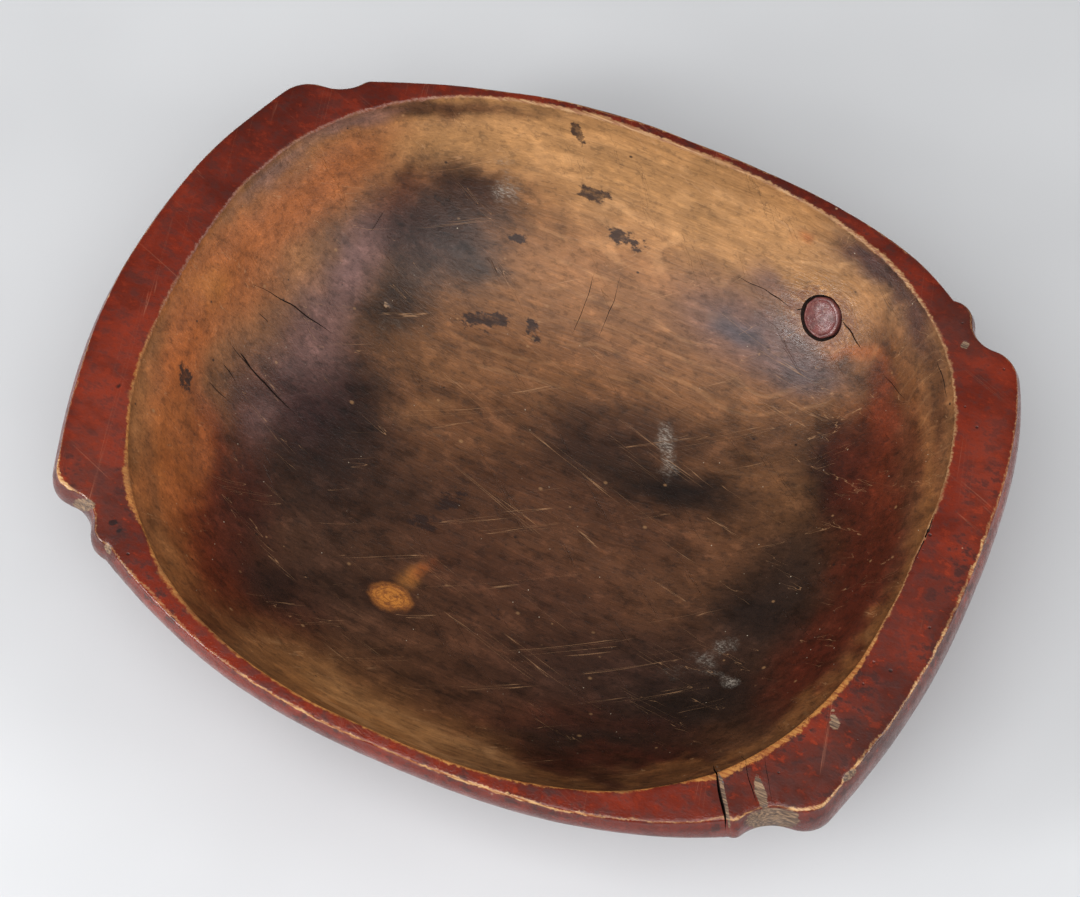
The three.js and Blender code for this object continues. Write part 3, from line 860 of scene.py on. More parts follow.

# Washes of stain in the hollow, laid one over another and placed on the photograph:
# colour, pixel, half width and half height in pixels, tilt in degrees clockwise, and strength.
HOLLOW_WASHES = (
    # Among these washes, plum and slate are a painted sheen, not stain.
    (HONEY, 640, 175, 270, 64, 25, 1.0),
    (HONEY, 740, 250, 120, 50, 25, 0.5),
    (HONEY, 490, 142, 150, 26, 2, 0.8),
    (HONEY, 155, 410, 14, 50, 6, 0.6),
    (AMBER, 150, 500, 18, 64, -10, 0.6),
    (OCHRE, 172, 420, 12, 64, 4, 0.45),
    (HONEY, 920, 330, 22, 60, -14, 0.5),
    (TAN, 330, 165, 110, 30, -34, 0.8),
    (GOLD, 310, 185, 120, 36, -36, 0.4),
    (AMBER, 300, 200, 110, 28, -38, 0.75),
    (AMBER, 222, 280, 60, 50, -50, 0.75),
    (OCHRE, 206, 290, 16, 30, 30, 0.5),
    (TAN, 170, 570, 22, 60, -34, 0.8),
    (OCHRE, 196, 606, 60, 14, 50, 0.3),
    (AMBER, 180, 360, 26, 70, 12, 1.0),
    (AMBER, 186, 480, 26, 96, -8, 1.0),
    (GOLD, 240, 630, 90, 30, 42, 0.8),
    (BARK, 540, 560, 340, 190, 10, 1.0),
    (BARK, 560, 690, 230, 66, 6, 0.95),
    (UMBER, 590, 350, 190, 56, 10, 0.9),
    (TAN, 560, 290, 120, 60, 10, 0.6),
    (TAN, 690, 350, 90, 44, 10, 0.5),
    (UMBER, 450, 420, 90, 36, 4, 0.75),
    (TAN, 415, 412, 44, 12, -6, 0.5),
    (TAN, 620, 380, 150, 16, 10, 0.3),
    (UMBER, 560, 540, 110, 34, 22, 0.35),
    (UMBER, 700, 590, 90, 44, -10, 0.4),
    (RUST, 214, 480, 15, 100, -6, 0.8),
    (AMBER, 203, 470, 9, 76, -4, 0.6),
    (RUST, 222, 560, 26, 60, -24, 0.9),
    (OXBLOOD, 244, 510, 36, 110, -4, 0.95),
    (OXBLOOD, 280, 600, 60, 30, 40, 0.8),
    (SMOKE, 330, 440, 84, 130, 10, 0.95),
    (SMOKE, 330, 590, 90, 46, 34, 0.7),
    (WINE, 400, 225, 70, 36, -14, 0.9),
    (WINE, 300, 390, 56, 60, 10, 0.8),
    (SMOKE, 470, 188, 56, 26, 16, 0.95),
    (SMOKE, 440, 240, 76, 60, -14, 0.95),
    (OXBLOOD, 395, 190, 30, 16, -20, 0.5),
    (CHAR, 395, 300, 44, 44, -20, 0.8),
    (CHAR, 350, 420, 40, 76, 16, 0.45),
    (CHAR, 290, 470, 30, 50, 0, 0.35),
    (CHAR, 266, 585, 34, 22, 40, 0.7),
    (CHAR, 420, 500, 60, 30, 0, 0.4),
    (CHAR, 478, 270, 30, 12, 0, 0.5),
    # The plum washes on the left wall are a painted sheen.
    (PLUM_SHEEN, 352, 268, 22, 60, 18, 1.0),
    (PLUM_SHEEN, 318, 330, 36, 56, 14, 0.9),
    (WINE, 250, 400, 22, 56, -8, 0.5),
    (PLUM_SHEEN, 266, 420, 14, 24, 10, 0.5),
    (CHAR, 680, 490, 86, 24, 8, 0.95),
    (CHAR, 590, 455, 56, 26, 8, 0.75),
    (SMOKE, 640, 435, 130, 30, 8, 0.75),
    (SMOKE, 800, 440, 60, 44, 0, 0.6),
    (CHAR, 834, 480, 30, 60, 8, 0.95),
    (CHAR, 800, 560, 50, 44, 20, 0.8),
    (CHAR, 770, 620, 74, 54, -20, 0.95),
    (SMOKE, 640, 680, 150, 46, -4, 0.8),
    (CHAR, 690, 710, 110, 30, -16, 0.95),
    (OXBLOOD, 560, 740, 160, 30, 6, 0.7),
    (CHAR, 600, 746, 130, 18, 4, 0.9),
    (UMBER, 912, 440, 40, 140, 6, 0.95),
    (BARK, 890, 450, 24, 110, 6, 0.5),
    (GOLD, 905, 380, 10, 60, -10, 0.5),
    (OXBLOOD, 866, 500, 38, 130, 8, 0.95),
    (RUST, 878, 400, 16, 50, -4, 0.6),
    (RUST, 880, 500, 12, 70, 8, 0.4),
    (RUST, 926, 450, 16, 60, 2, 0.35),
    (OXBLOOD, 864, 590, 30, 90, 22, 0.95),
    (OXBLOOD, 812, 664, 70, 26, -48, 0.95),
    (OXBLOOD, 640, 758, 130, 10, 2, 0.6),
    (TAN, 926, 400, 8, 90, 2, 0.6),
    (GOLD, 924, 520, 10, 90, 12, 0.7),
    (GOLD, 884, 626, 8, 80, 34, 0.8),
    (GOLD, 806, 712, 60, 6, -40, 0.7),
    (GOLD, 700, 768, 70, 5, -12, 0.7),
    (GOLD, 570, 783, 110, 6, 6, 0.8),
    (TAN, 400, 722, 110, 22, 22, 0.95),
    (HONEY, 430, 738, 90, 9, 20, 0.55),
    (TAN, 290, 676, 80, 18, 34, 0.8),
    (OCHRE, 350, 706, 90, 12, 26, 0.25),
    (HONEY, 350, 694, 50, 8, 24, 0.5),
    (BARK, 470, 700, 60, 20, 8, 0.6),
    (SMOKE, 820, 360, 60, 16, 30, 0.6),
    # Plum and slate here are a painted sheen on the wall round the plug.
    (PLUM_SHEEN, 745, 330, 78, 38, 34, 0.75),
    (SLATE_SHEEN, 735, 332, 36, 16, 36, 0.85),
    (SLATE_SHEEN, 800, 372, 40, 20, 24, 0.7),
    (PLUM_SHEEN, 772, 285, 34, 16, 30, 0.7),
    (WINE, 868, 262, 48, 16, 36, 0.95),
    (WINE, 912, 312, 12, 56, -24, 0.85),
    (BARK, 934, 400, 8, 60, -4, 0.6),
    (WINE, 785, 330, 50, 14, 30, 0.5),
    (BARK, 706, 272, 40, 14, 20, 0.35),
    (BARK, 450, 110, 110, 8, 3, 0.9),
    # Plum here is a painted sheen below the far rim.
    (PLUM_SHEEN, 350, 122, 60, 9, -16, 0.8),
    (PLUM_SHEEN, 276, 168, 50, 7, -44, 0.6),
    (UMBER, 152, 480, 4, 60, 0, 0.6),
    (AMBER, 852, 352, 26, 8, 12, 0.8),
    (AMBER, 800, 238, 11, 4, 0, 0.9),
    (OCHRE, 415, 580, 20, 9, -34, 0.75),
    (RUST, 428, 572, 14, 8, -34, 0.5),
    (BARK, 905, 520, 5, 60, 16, 0.35),
)
# The same for the paint on the rim and the outside.
PAINT_WASHES = (
    (DUSK, 300, 130, 150, 60, -40, 0.7),
    (DUSK, 760, 170, 230, 40, 26, 0.6),
    (CORAL, 120, 400, 50, 110, 20, 0.35),
    (GRIME, 100, 500, 50, 70, 0, 0.5),
    (GRIME, 960, 330, 40, 40, 30, 0.5),
    (GRIME, 930, 640, 60, 90, 28, 0.45),
    (GRIME, 850, 750, 70, 44, -40, 0.6),
    (GRIME, 760, 790, 60, 30, -10, 0.4),
    (CORAL, 985, 480, 24, 80, 10, 0.4),
    (DUSK, 560, 800, 160, 24, 6, 0.3),
)
# Marks with ragged edges: pixel, half width and half height in pixels, tilt, and strength.
BLOTS = (
    (578, 134, 6, 12, -34, 1.4),
    (588, 191, 16, 7, 8, 1.2),
    (604, 197, 12, 5, 14, 1.0),
    (632, 243, 40, 9, 24, 0.7),
    (487, 319, 28, 11, 0, 1.2),
    (470, 322, 14, 6, 10, 1.0),
    (534, 329, 8, 16, -34, 1.15),
    (517, 235, 14, 3, -4, 1.3),
    (188, 377, 7, 16, -8, 0.9),
    (450, 498, 20, 12, 0, 0.9),
    (424, 522, 18, 10, 10, 0.9),
    (497, 617, 9, 11, 0, 0.8),
    (114, 522, 5, 3, 10, 1.0),
    (120, 531, 3, 2, 0, 1.0),
    (120, 386, 5, 3, -30, 0.8),
)
SCUFFS = (
    (505, 192, 20, 16, -20, 0.9),
    (665, 448, 12, 34, -10, 1.2),
    (684, 440, 7, 9, 0, 0.9),
    (712, 654, 34, 12, -24, 0.7),
    (690, 668, 60, 9, -10, 0.45),
    (728, 682, 16, 6, 10, 0.8),
    (440, 440, 20, 30, 0, 0.35),
    (760, 315, 24, 8, 30, 0.5),
    (400, 330, 40, 20, 0, 0.4),
    (480, 160, 50, 12, 0, 0.45),
)
# Where the paint is most worn at the edges, and where it is gone and the wood lies bare.
WEAR = (
    (300, 730, 120, 30, 32, 0.55),
    (470, 790, 150, 26, 14, 0.7),
    (760, 745, 70, 30, -24, 1.4),
    (850, 690, 50, 30, -50, 0.9),
    (728, 828, 22, 14, 0, 1.5),
    (820, 815, 50, 12, -14, 1.4),
    (870, 770, 40, 30, -45, 0.9),
    (955, 600, 30, 150, 22, 0.7),
    (62, 480, 16, 24, 20, 1.3),
    (140, 470, 16, 90, 6, 0.9),
    (200, 300, 20, 90, 30, 0.5),
    (640, 130, 160, 20, 20, 0.5),
    (870, 260, 60, 30, 40, 0.5),
    (150, 600, 30, 60, -40, 0.7),
)
BARE = (
    (774, 822, 26, 12, 0, 1.3),
    (761, 794, 5, 17, -12, 1.2),
    (724.5, 799, 2.0, 34, -10, 1.1),
    (850, 776, 9, 4, -34, 1.2),
    (835, 724, 4.5, 6, 0, 1.3),
    (833, 716, 2, 8, 8, 1.0),
    (82, 505, 14, 7, 0, 1.1),
    (107, 549, 4, 6, -20, 1.0),
    (965, 345, 6, 4, 0, 0.9),
    (386, 303, 2.2, 4, 20, 1.2),
    (985, 542, 6, 2, 0, 0.9),
)
# Natural edges wander: a wash is looked up away from its true place by a broad and a fine noise,
# given by their size, how far they shift it in mm, and their seeds. A blot goes a share as far.
WASH_DRIFTS = ((48, 6, (61, 62, 65)), (13, 4.8, (63, 64, 66)))
BLOT_DRIFT = 0.45
OVAL_POWER = 1.5


def oval_mark(points, px, py, half_width, half_height, tilt):
    """1 at the middle of a soft oval on the surface, set out as the photograph shows it."""
    away = points - under_pixel(px, py)
    u = away @ CAMERA_RIGHT
    v = -(away @ CAMERA_UP)
    turn = math.radians(tilt)
    along = (u * math.cos(turn) + v * math.sin(turn)) / (half_width * PIXEL_MM)
    across = (v * math.cos(turn) - u * math.sin(turn)) / (half_height * PIXEL_MM)
    return np.exp(-((along**2 + across**2) ** OVAL_POWER))


def drifted(points):
    """Every point shifted a little, so that marks have uneven edges."""
    shift = np.zeros_like(points)
    for size, reach, seeds in WASH_DRIFTS:
        shift += reach * np.stack([wobble(points, size, seed) for seed in seeds], 1)
    return points + shift


def washed(points, ground, washes):
    colour = np.tile(np.array(ground), (len(points), 1))
    for wash, *oval, strength in washes:
        share = oval_mark(points, *oval) * strength
        colour = mix(colour, np.array(wash), share[:, None])
    return colour


def marked(points, marks):
    total = np.zeros(len(points))
    for *oval, strength in marks:
        total = np.maximum(total, oval_mark(points, *oval) * strength)
    return total


def store(mesh, name, values):
    values = np.asarray(values, np.float32)
    kind, field = ("FLOAT", "value") if values.ndim == 1 else ("FLOAT_COLOR", "color")
    layer = mesh.attributes.new(name, kind, "POINT")
    layer.data.foreach_set(field, values.ravel())


# How far below the rim's top its flat, its worn outer edge and its bare spots still reach, how
# far below the smooth hollow its carved surface lies, and a distance well beyond any edge.
RIM_DEPTH = 6
EDGE_DEPTH = 12
BARE_DEPTH = 34
HOLLOW_DEPTH = 9
FAR_OFF = 50


def mark_trough(body):
    """Stores on each vertex where it lies about the rim, and its stain with painted sheen, paint
    and marks.
    """
    mesh = body.data
    flat = np.zeros(len(mesh.vertices) * 3, np.float32)
    mesh.vertices.foreach_get("co", flat)
    points = flat.reshape(-1, 3).astype(float) / MM
    x, y, z = points.T
    drop = HEIGHT - z
    bearing = np.arctan2(y - WIDEST_LINE_OFFSET, x)
    beyond = np.hypot(x, y - WIDEST_LINE_OFFSET) - hollow_radius(bearing)
    in_hollow = (beyond < RIM_EASE + RIM_SINK) & (z > floor_height(x, y) - HOLLOW_DEPTH)
    on_rim = (drop < RIM_DEPTH) & (beyond > 0)
    inner = np.where(in_hollow, beyond - drop, np.where(on_rim, beyond, FAR_OFF))
    outer = np.where(drop < EDGE_DEPTH, outline_distance(points) - drop, -EDGE_DEPTH)
    loose = drifted(points)
    store(mesh, "inner", inner)
    store(mesh, "outer", np.where(in_hollow, FAR_OFF, outer))
    store(mesh, "stain_and_sheen", washed(loose, TAN, HOLLOW_WASHES))
    store(mesh, "coat", washed(loose, BRICK, PAINT_WASHES))
    seen = in_hollow | (drop < EDGE_DEPTH)
    ragged = mix(points, loose, BLOT_DRIFT)
    store(mesh, "blot", marked(ragged, BLOTS) * seen)
    store(mesh, "scuff", marked(loose, SCUFFS) * seen)
    store(mesh, "wear", marked(loose, WEAR) * seen)
    store(mesh, "bare", marked(points, BARE) * (in_hollow | (drop < BARE_DEPTH)))


class Graph:
    """One material's nodes. An input may be a number, a colour or another node's socket."""

    def __init__(self, name):
        self.material = bpy.data.materials.new(name)
        self.material.use_nodes = True
        self.tree = self.material.node_tree
        self.tree.nodes.clear()
        place = self.node("ShaderNodeTexCoord").outputs["Object"]
        self.place = self.vector("SCALE", place, Scale=1 / MM)

    def node(self, kind, inputs=None, **settings):
        made = self.tree.nodes.new(kind)
        for key, value in settings.items():
            setattr(made, key, value)
        for key, value in (inputs or {}).items():
            if isinstance(value, bpy.types.NodeSocket):
                self.tree.links.new(value, made.inputs[key])
            else:
                made.inputs[key].default_value = value
        return made

    def vector(self, operation, a, b=(0, 0, 0), **named):
        made = self.node("ShaderNodeVectorMath", {0: a, 1: b, **named}, operation=operation)
        return made.outputs["Value" if operation == "LENGTH" else "Vector"]

    def calc(self, operation, a, b=0.0):
        return self.node("ShaderNodeMath", {0: a, 1: b}, operation=operation).outputs[0]

    def plus(self, a, b):
        return self.calc("ADD", a, b)

    def minus(self, a, b):
        return self.calc("SUBTRACT", a, b)

    def times(self, a, b):
        return self.calc("MULTIPLY", a, b)

    def swing(self, value, reach=1.0):
        """A noise about zero, because its middle value is a half, and times a reach."""
        return self.times(self.minus(value, 0.5), reach)

    def wave(self, value, spacing):
        return self.calc("SINE", self.times(value, 2 * math.pi / spacing))

    def mask(self, name, output="Fac"):
        return self.node("ShaderNodeAttribute", attribute_name=name).outputs[output]

    def along(self, axis):
        return self.node("ShaderNodeSeparateXYZ", {"Vector": self.place}).outputs[axis]

    def turned(self, place, degrees):
        inputs = {"Vector": place, "Angle": math.radians(degrees)}
        return self.node("ShaderNodeVectorRotate", inputs).outputs["Vector"]

    def rise(self, value, low, high, start=0.0, end=1.0):
        """Start below low, end above high, and a smooth step between."""
        inputs = {"Value": value, "From Min": low, "From Max": high, "To Min": start, "To Max": end}
        made = self.node("ShaderNodeMapRange", inputs, interpolation_type="SMOOTHSTEP")
        return made.outputs["Result"]

    def squeeze(self, sizes, place=None):
        """The place in units of a size in mm for each axis."""
        return self.vector("DIVIDE", place or self.place, sizes)

    def noise(self, sizes, detail=4.0, roughness=0.55, distortion=0.0, place=None):
        """Cloudy noise from 0 to 1, with clouds of a size in mm for each axis."""
        inputs = {
            "Vector": self.squeeze(sizes, place),
            "Scale": 1.0,
            "Detail": detail,
            "Roughness": roughness,
            "Distortion": distortion,
        }
        return self.node("ShaderNodeTexNoise", inputs).outputs["Fac"]

    def spots(self, sizes, low, high, rarity):
        """1 inside scattered spots of uneven size; rarity is the share of cells left empty."""
        inputs = {"Vector": self.squeeze(sizes), "Scale": 1.0}
        made = self.node("ShaderNodeTexVoronoi", inputs)
        chance = self.node("ShaderNodeSeparateColor", {"Color": made.outputs["Color"]}).outputs[0]
        size = self.rise(chance, rarity, 1.0)
        near = self.calc("DIVIDE", made.outputs["Distance"], self.plus(size, 0.001))
        return self.rise(near, high, low)

    def lines(self, sizes, width, place=None, distortion=0.6):
        """1 on thin wandering lines, where a noise crosses its middle value."""
        value = self.noise(sizes, detail=1.5, distortion=distortion, place=place)
        return self.rise(self.calc("ABSOLUTE", self.minus(value, 0.5)), width, 0)

    def between(self, share, a, b):
        return self.node("ShaderNodeMix", {0: share, 2: a, 3: b}).outputs[0]

    def blend(self, share, a, b):
        return self.node("ShaderNodeMix", {0: share, 6: a, 7: b}, data_type="RGBA").outputs[2]

    def grained(self, value, a, b, low=0.35, high=0.65):
        """From one colour to another as a noise rises."""
        return self.blend(self.rise(value, low, high), a, b)

    def layered(self, colour, *layers):
        """A colour under others: the share that each covers, its strength, and its own colour or
        the factor by which it darkens or lightens what it covers."""
        for share, strength, top in layers:
            if isinstance(top, float):
                top = self.vector("SCALE", colour, Scale=top)
            colour = self.blend(self.times(share, strength), colour, top)
        return colour

    def bump(self, height, distance):
        inputs = {"Height": height, "Distance": distance * MM, "Strength": 1.0}
        return self.node("ShaderNodeBump", inputs).outputs["Normal"]

    def finish(self, colour, roughness, normal, **constants):
        inputs = {"Base Color": colour, "Roughness": roughness, "Normal": normal}
        inputs.update({name.replace("_", " "): value for name, value in constants.items()})
        shader = self.node("ShaderNodeBsdfPrincipled", inputs)
        output = self.node("ShaderNodeOutputMaterial")
        self.tree.links.new(shader.outputs["BSDF"], output.inputs["Surface"])
        return self.material


# The yearly rings lie in long ovals round the far wall, where the hollow grazes them. Their
# middle stands this far off the wall, and they fade out between two places along X.
RING_MIDDLE_PIXEL = (695, 190)
RING_STAND_OFF = 260
RING_SPACING = 4.6
RING_STRETCH = 0.62
RING_FADE = (-150, -60)
GRAIN_WANDER = 20


def wood_figure(g):
    """Fibres, yearly rings and pores that run along the log."""
    wander = g.times(g.noise((120, 50, 50), detail=2), GRAIN_WANDER)
    warp = g.node("ShaderNodeCombineXYZ", {"Y": wander})
    place = g.vector("ADD", g.place, warp.outputs[0])
    spot = under_pixel(*RING_MIDDLE_PIXEL)
    middle = spot + RING_STAND_OFF * floor_normal(spot[0], spot[1])
    away = g.vector("SUBTRACT", place, tuple(middle))
    radius = g.vector("LENGTH", g.vector("MULTIPLY", away, (RING_STRETCH, 1, 1)))
    shown = g.times(g.rise(g.noise((34, 34, 34)), 0.4, 0.62), g.rise(g.along("X"), *RING_FADE))
    return dict(
        fibres=g.noise((30, 1.4, 1.4), roughness=0.62, place=place),
        rings=g.times(g.rise(g.wave(radius, RING_SPACING), 0.72, 1.0), shown),
        pores=g.noise((7, 0.7, 0.7), detail=2, place=place),
    )


SCRATCH_SIZE = (320, 4, 20)
SCRATCH_PATCH = (110, 12, 40)
SCRATCH_WIDTH = 0.009
SCRATCH_DENSITY = (0.6, 0.65)
SCRATCH_SHIFT = 400.0


def scratches(g, *turns):
    """Long thin scratches in a few directions, each broken off after a while."""
    total = 0.0
    for index, turn in enumerate(turns):
        shifted = g.vector("ADD", g.place, (0, 0, SCRATCH_SHIFT * (index + 1)))
        turned = g.turned(shifted, turn)
        line = g.lines(SCRATCH_SIZE, SCRATCH_WIDTH, place=turned, distortion=0.0)
        patch = g.rise(g.noise(SCRATCH_PATCH, detail=1, place=turned), *SCRATCH_DENSITY)
        total = g.calc("MAXIMUM", total, g.times(line, patch))
    return total


# Knots: the middle of each, and how far its rings reach.
OCHRE_KNOT = (tuple(under_pixel(391, 598)), 14.0)
PLUG_KNOT = (tuple(PLUG_SEAT), 44.0)
KNOT_SQUASH = (0.75, 1.15, 1.0)
KNOT_RING_SPACING = 3.1
KNOT_WANDER = 11


def knot_figure(g, knot, bent):
    """How far from a knot's middle a place is, as a share of its reach, and its swirled rings."""
    middle, reach = knot
    away = g.vector("MULTIPLY", g.vector("SUBTRACT", g.place, middle), KNOT_SQUASH)
    far = g.plus(g.vector("LENGTH", away), bent)
    return g.calc("DIVIDE", far, reach), g.rise(g.wave(far, KNOT_RING_SPACING), 0.1, 0.95)


RING_LIGHT = tint(196, 150, 104)


def stained_wood_with_sheen(g, marks):
    """The stain with its painted sheen, broken up at every scale: clouds, ragged patches, streaks,
    fibres and pores.
    """
    stain_and_sheen = g.mask("stain_and_sheen", "Color")
    depth = g.node("ShaderNodeRGBToBW", {"Color": stain_and_sheen}).outputs[0]
    dirty = g.rise(depth, 0.22, 0.06, 0.25, 1)
    brown = g.times(dirty, g.rise(depth, 0.008, 0.024, 0.35, 1))
    wood = g.layered(
        stain_and_sheen,
        (g.rise(marks["cloud"], 0.6, 0.4), 0.5, 0.58),
        (g.rise(marks["streak"], 0.52, 0.66), 0.45, 0.62),
        (g.rise(marks["streak"], 0.46, 0.34), 0.35, 1.35),
        (g.rise(marks["patch"], 0.52, 0.64), g.times(dirty, 0.7), 0.5),
        (g.rise(marks["patch"], 0.46, 0.36), g.times(brown, 0.7), 1.6),
        (g.rise(marks["mottle"], 0.53, 0.64), 0.6, 0.55),
        (g.rise(marks["mottle"], 0.45, 0.34), 0.45, 1.4),
        (g.rise(marks["fibres"], 0.52, 0.68), 0.5, 0.6),
        (g.rise(marks["fibres"], 0.46, 0.32), 0.4, 1.35),
        (g.rise(marks["pores"], 0.34, 0.26), 0.5, 0.4),
    )
    light = g.blend(0.5, g.vector("SCALE", wood, Scale=1.8), RING_LIGHT)
    rings = g.times(marks["rings"], g.rise(depth, 0.03, 0.2))
    return g.layered(wood, (rings, 0.5, light)), depth


# Colours of the ochre knot, of the dark line round it, and of the wood round the plugged one.
KNOT_RING = tint(136, 78, 36)
KNOT_SMUDGE = tint(110, 62, 32)
KNOT_EDGE = tint(126, 72, 36)
KNOT_OUTLINE = tint(48, 28, 20)
KNOT_RUST = tint(104, 56, 34)


def with_knots(g, wood, mottle):
    """The ochre knot with its dark edge, and the grain that swirls round the plugged one."""
    bent = g.swing(g.noise((13, 13, 13)), KNOT_WANDER)
    far, rings = knot_figure(g, OCHRE_KNOT, bent)
    ochre = g.layered(
        OCHRE,
        (rings, 0.6, KNOT_RING),
        (g.rise(mottle, 0.46, 0.6), 0.75, KNOT_SMUDGE),
        (g.rise(far, 0.3, 0.95), 0.6, KNOT_EDGE),
    )
    outline, face = g.rise(far, 1.4, 0.95), g.rise(far, 1.05, 0.6)
    far, rings = knot_figure(g, PLUG_KNOT, bent)
    rim = g.times(g.rise(far, 0.58, 0.42), g.rise(mottle, 0.4, 0.56))
    wood = g.layered(
        wood,
        (outline, 0.6, KNOT_OUTLINE),
        (face, 0.95, ochre),
        (g.times(rings, g.rise(far, 1, 0.45)), 0.5, 0.6),
        (rim, 0.6, KNOT_RUST),
    )
    return wood, g.rise(far, 1, 0.5)


# Colours of the hollow's marks.
SCRATCH = tint(186, 142, 102)
BLOT = tint(48, 32, 27)
DUST = tint(170, 160, 148)
SPECK = tint(206, 192, 170)
CRUMB = tint(164, 124, 84)
PIT = tint(30, 22, 20)


def hollow_looks(g):
    """The bare hollow's colour, height and roughness: stained wood with painted sheen, its figure
    and marks.
    """
    mottle = g.noise((8, 5, 5), roughness=0.68)
    marks = dict(
        cloud=g.noise((42, 30, 30), roughness=0.6),
        streak=g.noise((60, 5, 5), roughness=0.6),
        patch=g.noise((24, 14, 14), detail=5, roughness=0.66),
        mottle=mottle,
        **wood_figure(g),
    )
    wood, depth = stained_wood_with_sheen(g, marks)
    wood, glazed = with_knots(g, wood, mottle)

    dark_lines = scratches(g, 38)
    ragged = g.swing(marks["patch"], 2.6)
    blot = g.mask("blot")
    torn = g.plus(blot, g.plus(ragged, g.swing(mottle, 2.4)))
    blotted = g.times(g.rise(torn, 0.45, 0.8), g.rise(blot, 0.1, 0.5))
    scuff = g.mask("scuff")
    dusty = g.rise(g.plus(scuff, g.times(ragged, 0.7)), 0.3, 1.3)
    dusty = g.times(dusty, g.rise(scuff, 0.02, 0.4))
    grains = g.rise(g.noise((3.4, 1.1, 1.1), detail=3, roughness=0.75), 0.44, 0.66, 0.1, 1)
    specks = g.times(g.spots((5, 5, 5), 0.03, 0.11, 0.52), g.rise(depth, 0.16, 0.05, 0.25, 0.9))
    wood = g.layered(
        wood,
        (scratches(g, 16, 148), 0.45, SCRATCH),
        (dark_lines, 0.45, 0.4),
        (blotted, g.rise(mottle, 0.36, 0.56, 0.6, 0.92), BLOT),
        (g.times(dusty, grains), 0.9, DUST),
        (specks, g.rise(marks["cloud"], 0.42, 0.58), SPECK),
        (g.spots((13, 10, 10), 0.06, 0.18, 0.66), 0.5, CRUMB),
        (g.spots((15, 11, 11), 0.04, 0.13, 0.55), 0.85, PIT),
    )
    height = g.plus(g.times(marks["fibres"], 0.5), g.times(mottle, 0.6))
    height = g.minus(height, g.times(dark_lines, 0.3))
    shine = g.plus(g.rise(depth, 0.01, 0.16, 0.36, 0.5), g.swing(mottle, 0.5))
    return wood, height, g.minus(shine, g.times(glazed, 0.2))


# Heights in mm: the outside darkens below the first to the second of these, and the paint is
# rubbed off the foot in the same way.
LOWER_DARK_LEVELS = (84, 10)
FOOT_LEVELS = (5, 0.5)
# Colours of the paint's marks.
PAINT_LIGHT = tint(140, 48, 26)
PAINT_HANDLED = tint(64, 32, 28)
PAINT_RUBBED = tint(148, 54, 31)
PAINT_SCRATCH = tint(166, 104, 80)
PAINT_BLOT = tint(34, 26, 26)
PAINT_CHIP = tint(40, 27, 26)
PAINT_FLECK = tint(190, 150, 120)
# The outside is made darker towards the bottom, down to its foot.
LOWER_DARK = tint(50, 30, 26)
FOOT_WOOD = tint(118, 88, 66)


def paint_looks(g):
    """The old red paint's colour, height and roughness: uneven, grimy, scuffed and chipped, and
    darker towards the bottom of the outside.
    """
    cloud = g.noise((44, 30, 30), roughness=0.62)
    mottle = g.noise((10, 7, 7), detail=5, roughness=0.7)
    fine = g.noise((2.4, 1.3, 1.3), detail=2, roughness=0.6)
    handled = g.rise(g.mask("wear"), 0, 0.8, 0.4, 0.9)
    chips = g.spots((12, 10, 10), 0.05, 0.15, 0.55)
    level = g.along("Z")
    # Darker towards the bottom of the outside, broken up by clouds.
    lower_dark = g.times(g.rise(level, *LOWER_DARK_LEVELS), g.rise(cloud, 0.38, 0.56, 0.25, 0.8))
    rubbed_off = g.plus(g.rise(level, *FOOT_LEVELS), g.swing(mottle))
    red = g.layered(
        g.mask("coat", "Color"),
        (g.rise(cloud, 0.48, 0.6), 0.6, 0.6),
        (g.rise(cloud, 0.46, 0.34), 0.4, PAINT_LIGHT),
        (g.rise(mottle, 0.5, 0.62), handled, PAINT_HANDLED),
        (g.times(g.rise(mottle, 0.44, 0.33), handled), 0.7, PAINT_RUBBED),
        (g.rise(fine, 0.55, 0.75), 0.4, 0.55),
        (scratches(g, 20, 75), 0.4, PAINT_SCRATCH),
        (g.rise(g.mask("blot"), 0.35, 0.7), 0.85, PAINT_BLOT),
        (chips, 0.8, PAINT_CHIP),
        (g.spots((17, 17, 17), 0.03, 0.09, 0.6), 0.7, PAINT_FLECK),
        (lower_dark, 1.0, LOWER_DARK),
        (g.rise(rubbed_off, 0.5, 0.75), 0.85, FOOT_WOOD),
    )
    height = g.plus(g.times(mottle, 0.6), g.times(fine, 0.25))
    height = g.minus(height, g.times(chips, 0.8))
    return red, height, g.rise(mottle, 0.36, 0.62, 0.24, 0.46)


WEATHERED = (tint(156, 126, 98), tint(82, 64, 54))
OLD_BLUE = tint(60, 92, 118)


def bare_wood(g):
    """Weathered wood where the paint has gone, with a few flecks of an older blue coat."""
    fibres = g.noise((18, 1.1, 1.1), roughness=0.65)
    wood = g.grained(fibres, *WEATHERED, 0.36, 0.6)
    return g.layered(wood, (g.spots((5, 5, 5), 0.1, 0.3, 0.72), 0.7, OLD_BLUE))


# On the left the inner edge shows a painted mauve highlight line mixed with worn orange wood, and
# on the near side it is worn to ochre, from a place along X and along Y to where it is wholly so,
# and to pale tan elsewhere.
LEFT_LINE = (-110, -190)
NEAR_LINE = (20, -90)
# Left: a painted mauve highlight line, grained with worn orange wood.
LEFT_HIGHLIGHT_AND_WEAR_TONES = (tint(146, 104, 92), tint(122, 66, 42))
NEAR_TONES = (tint(186, 128, 66), tint(150, 86, 42))
FAR_TONES = (tint(188, 146, 102), tint(136, 84, 54))
OUTER_TONES = (tint(216, 174, 120), tint(150, 88, 54))
LINE_RUST = tint(100, 46, 26)


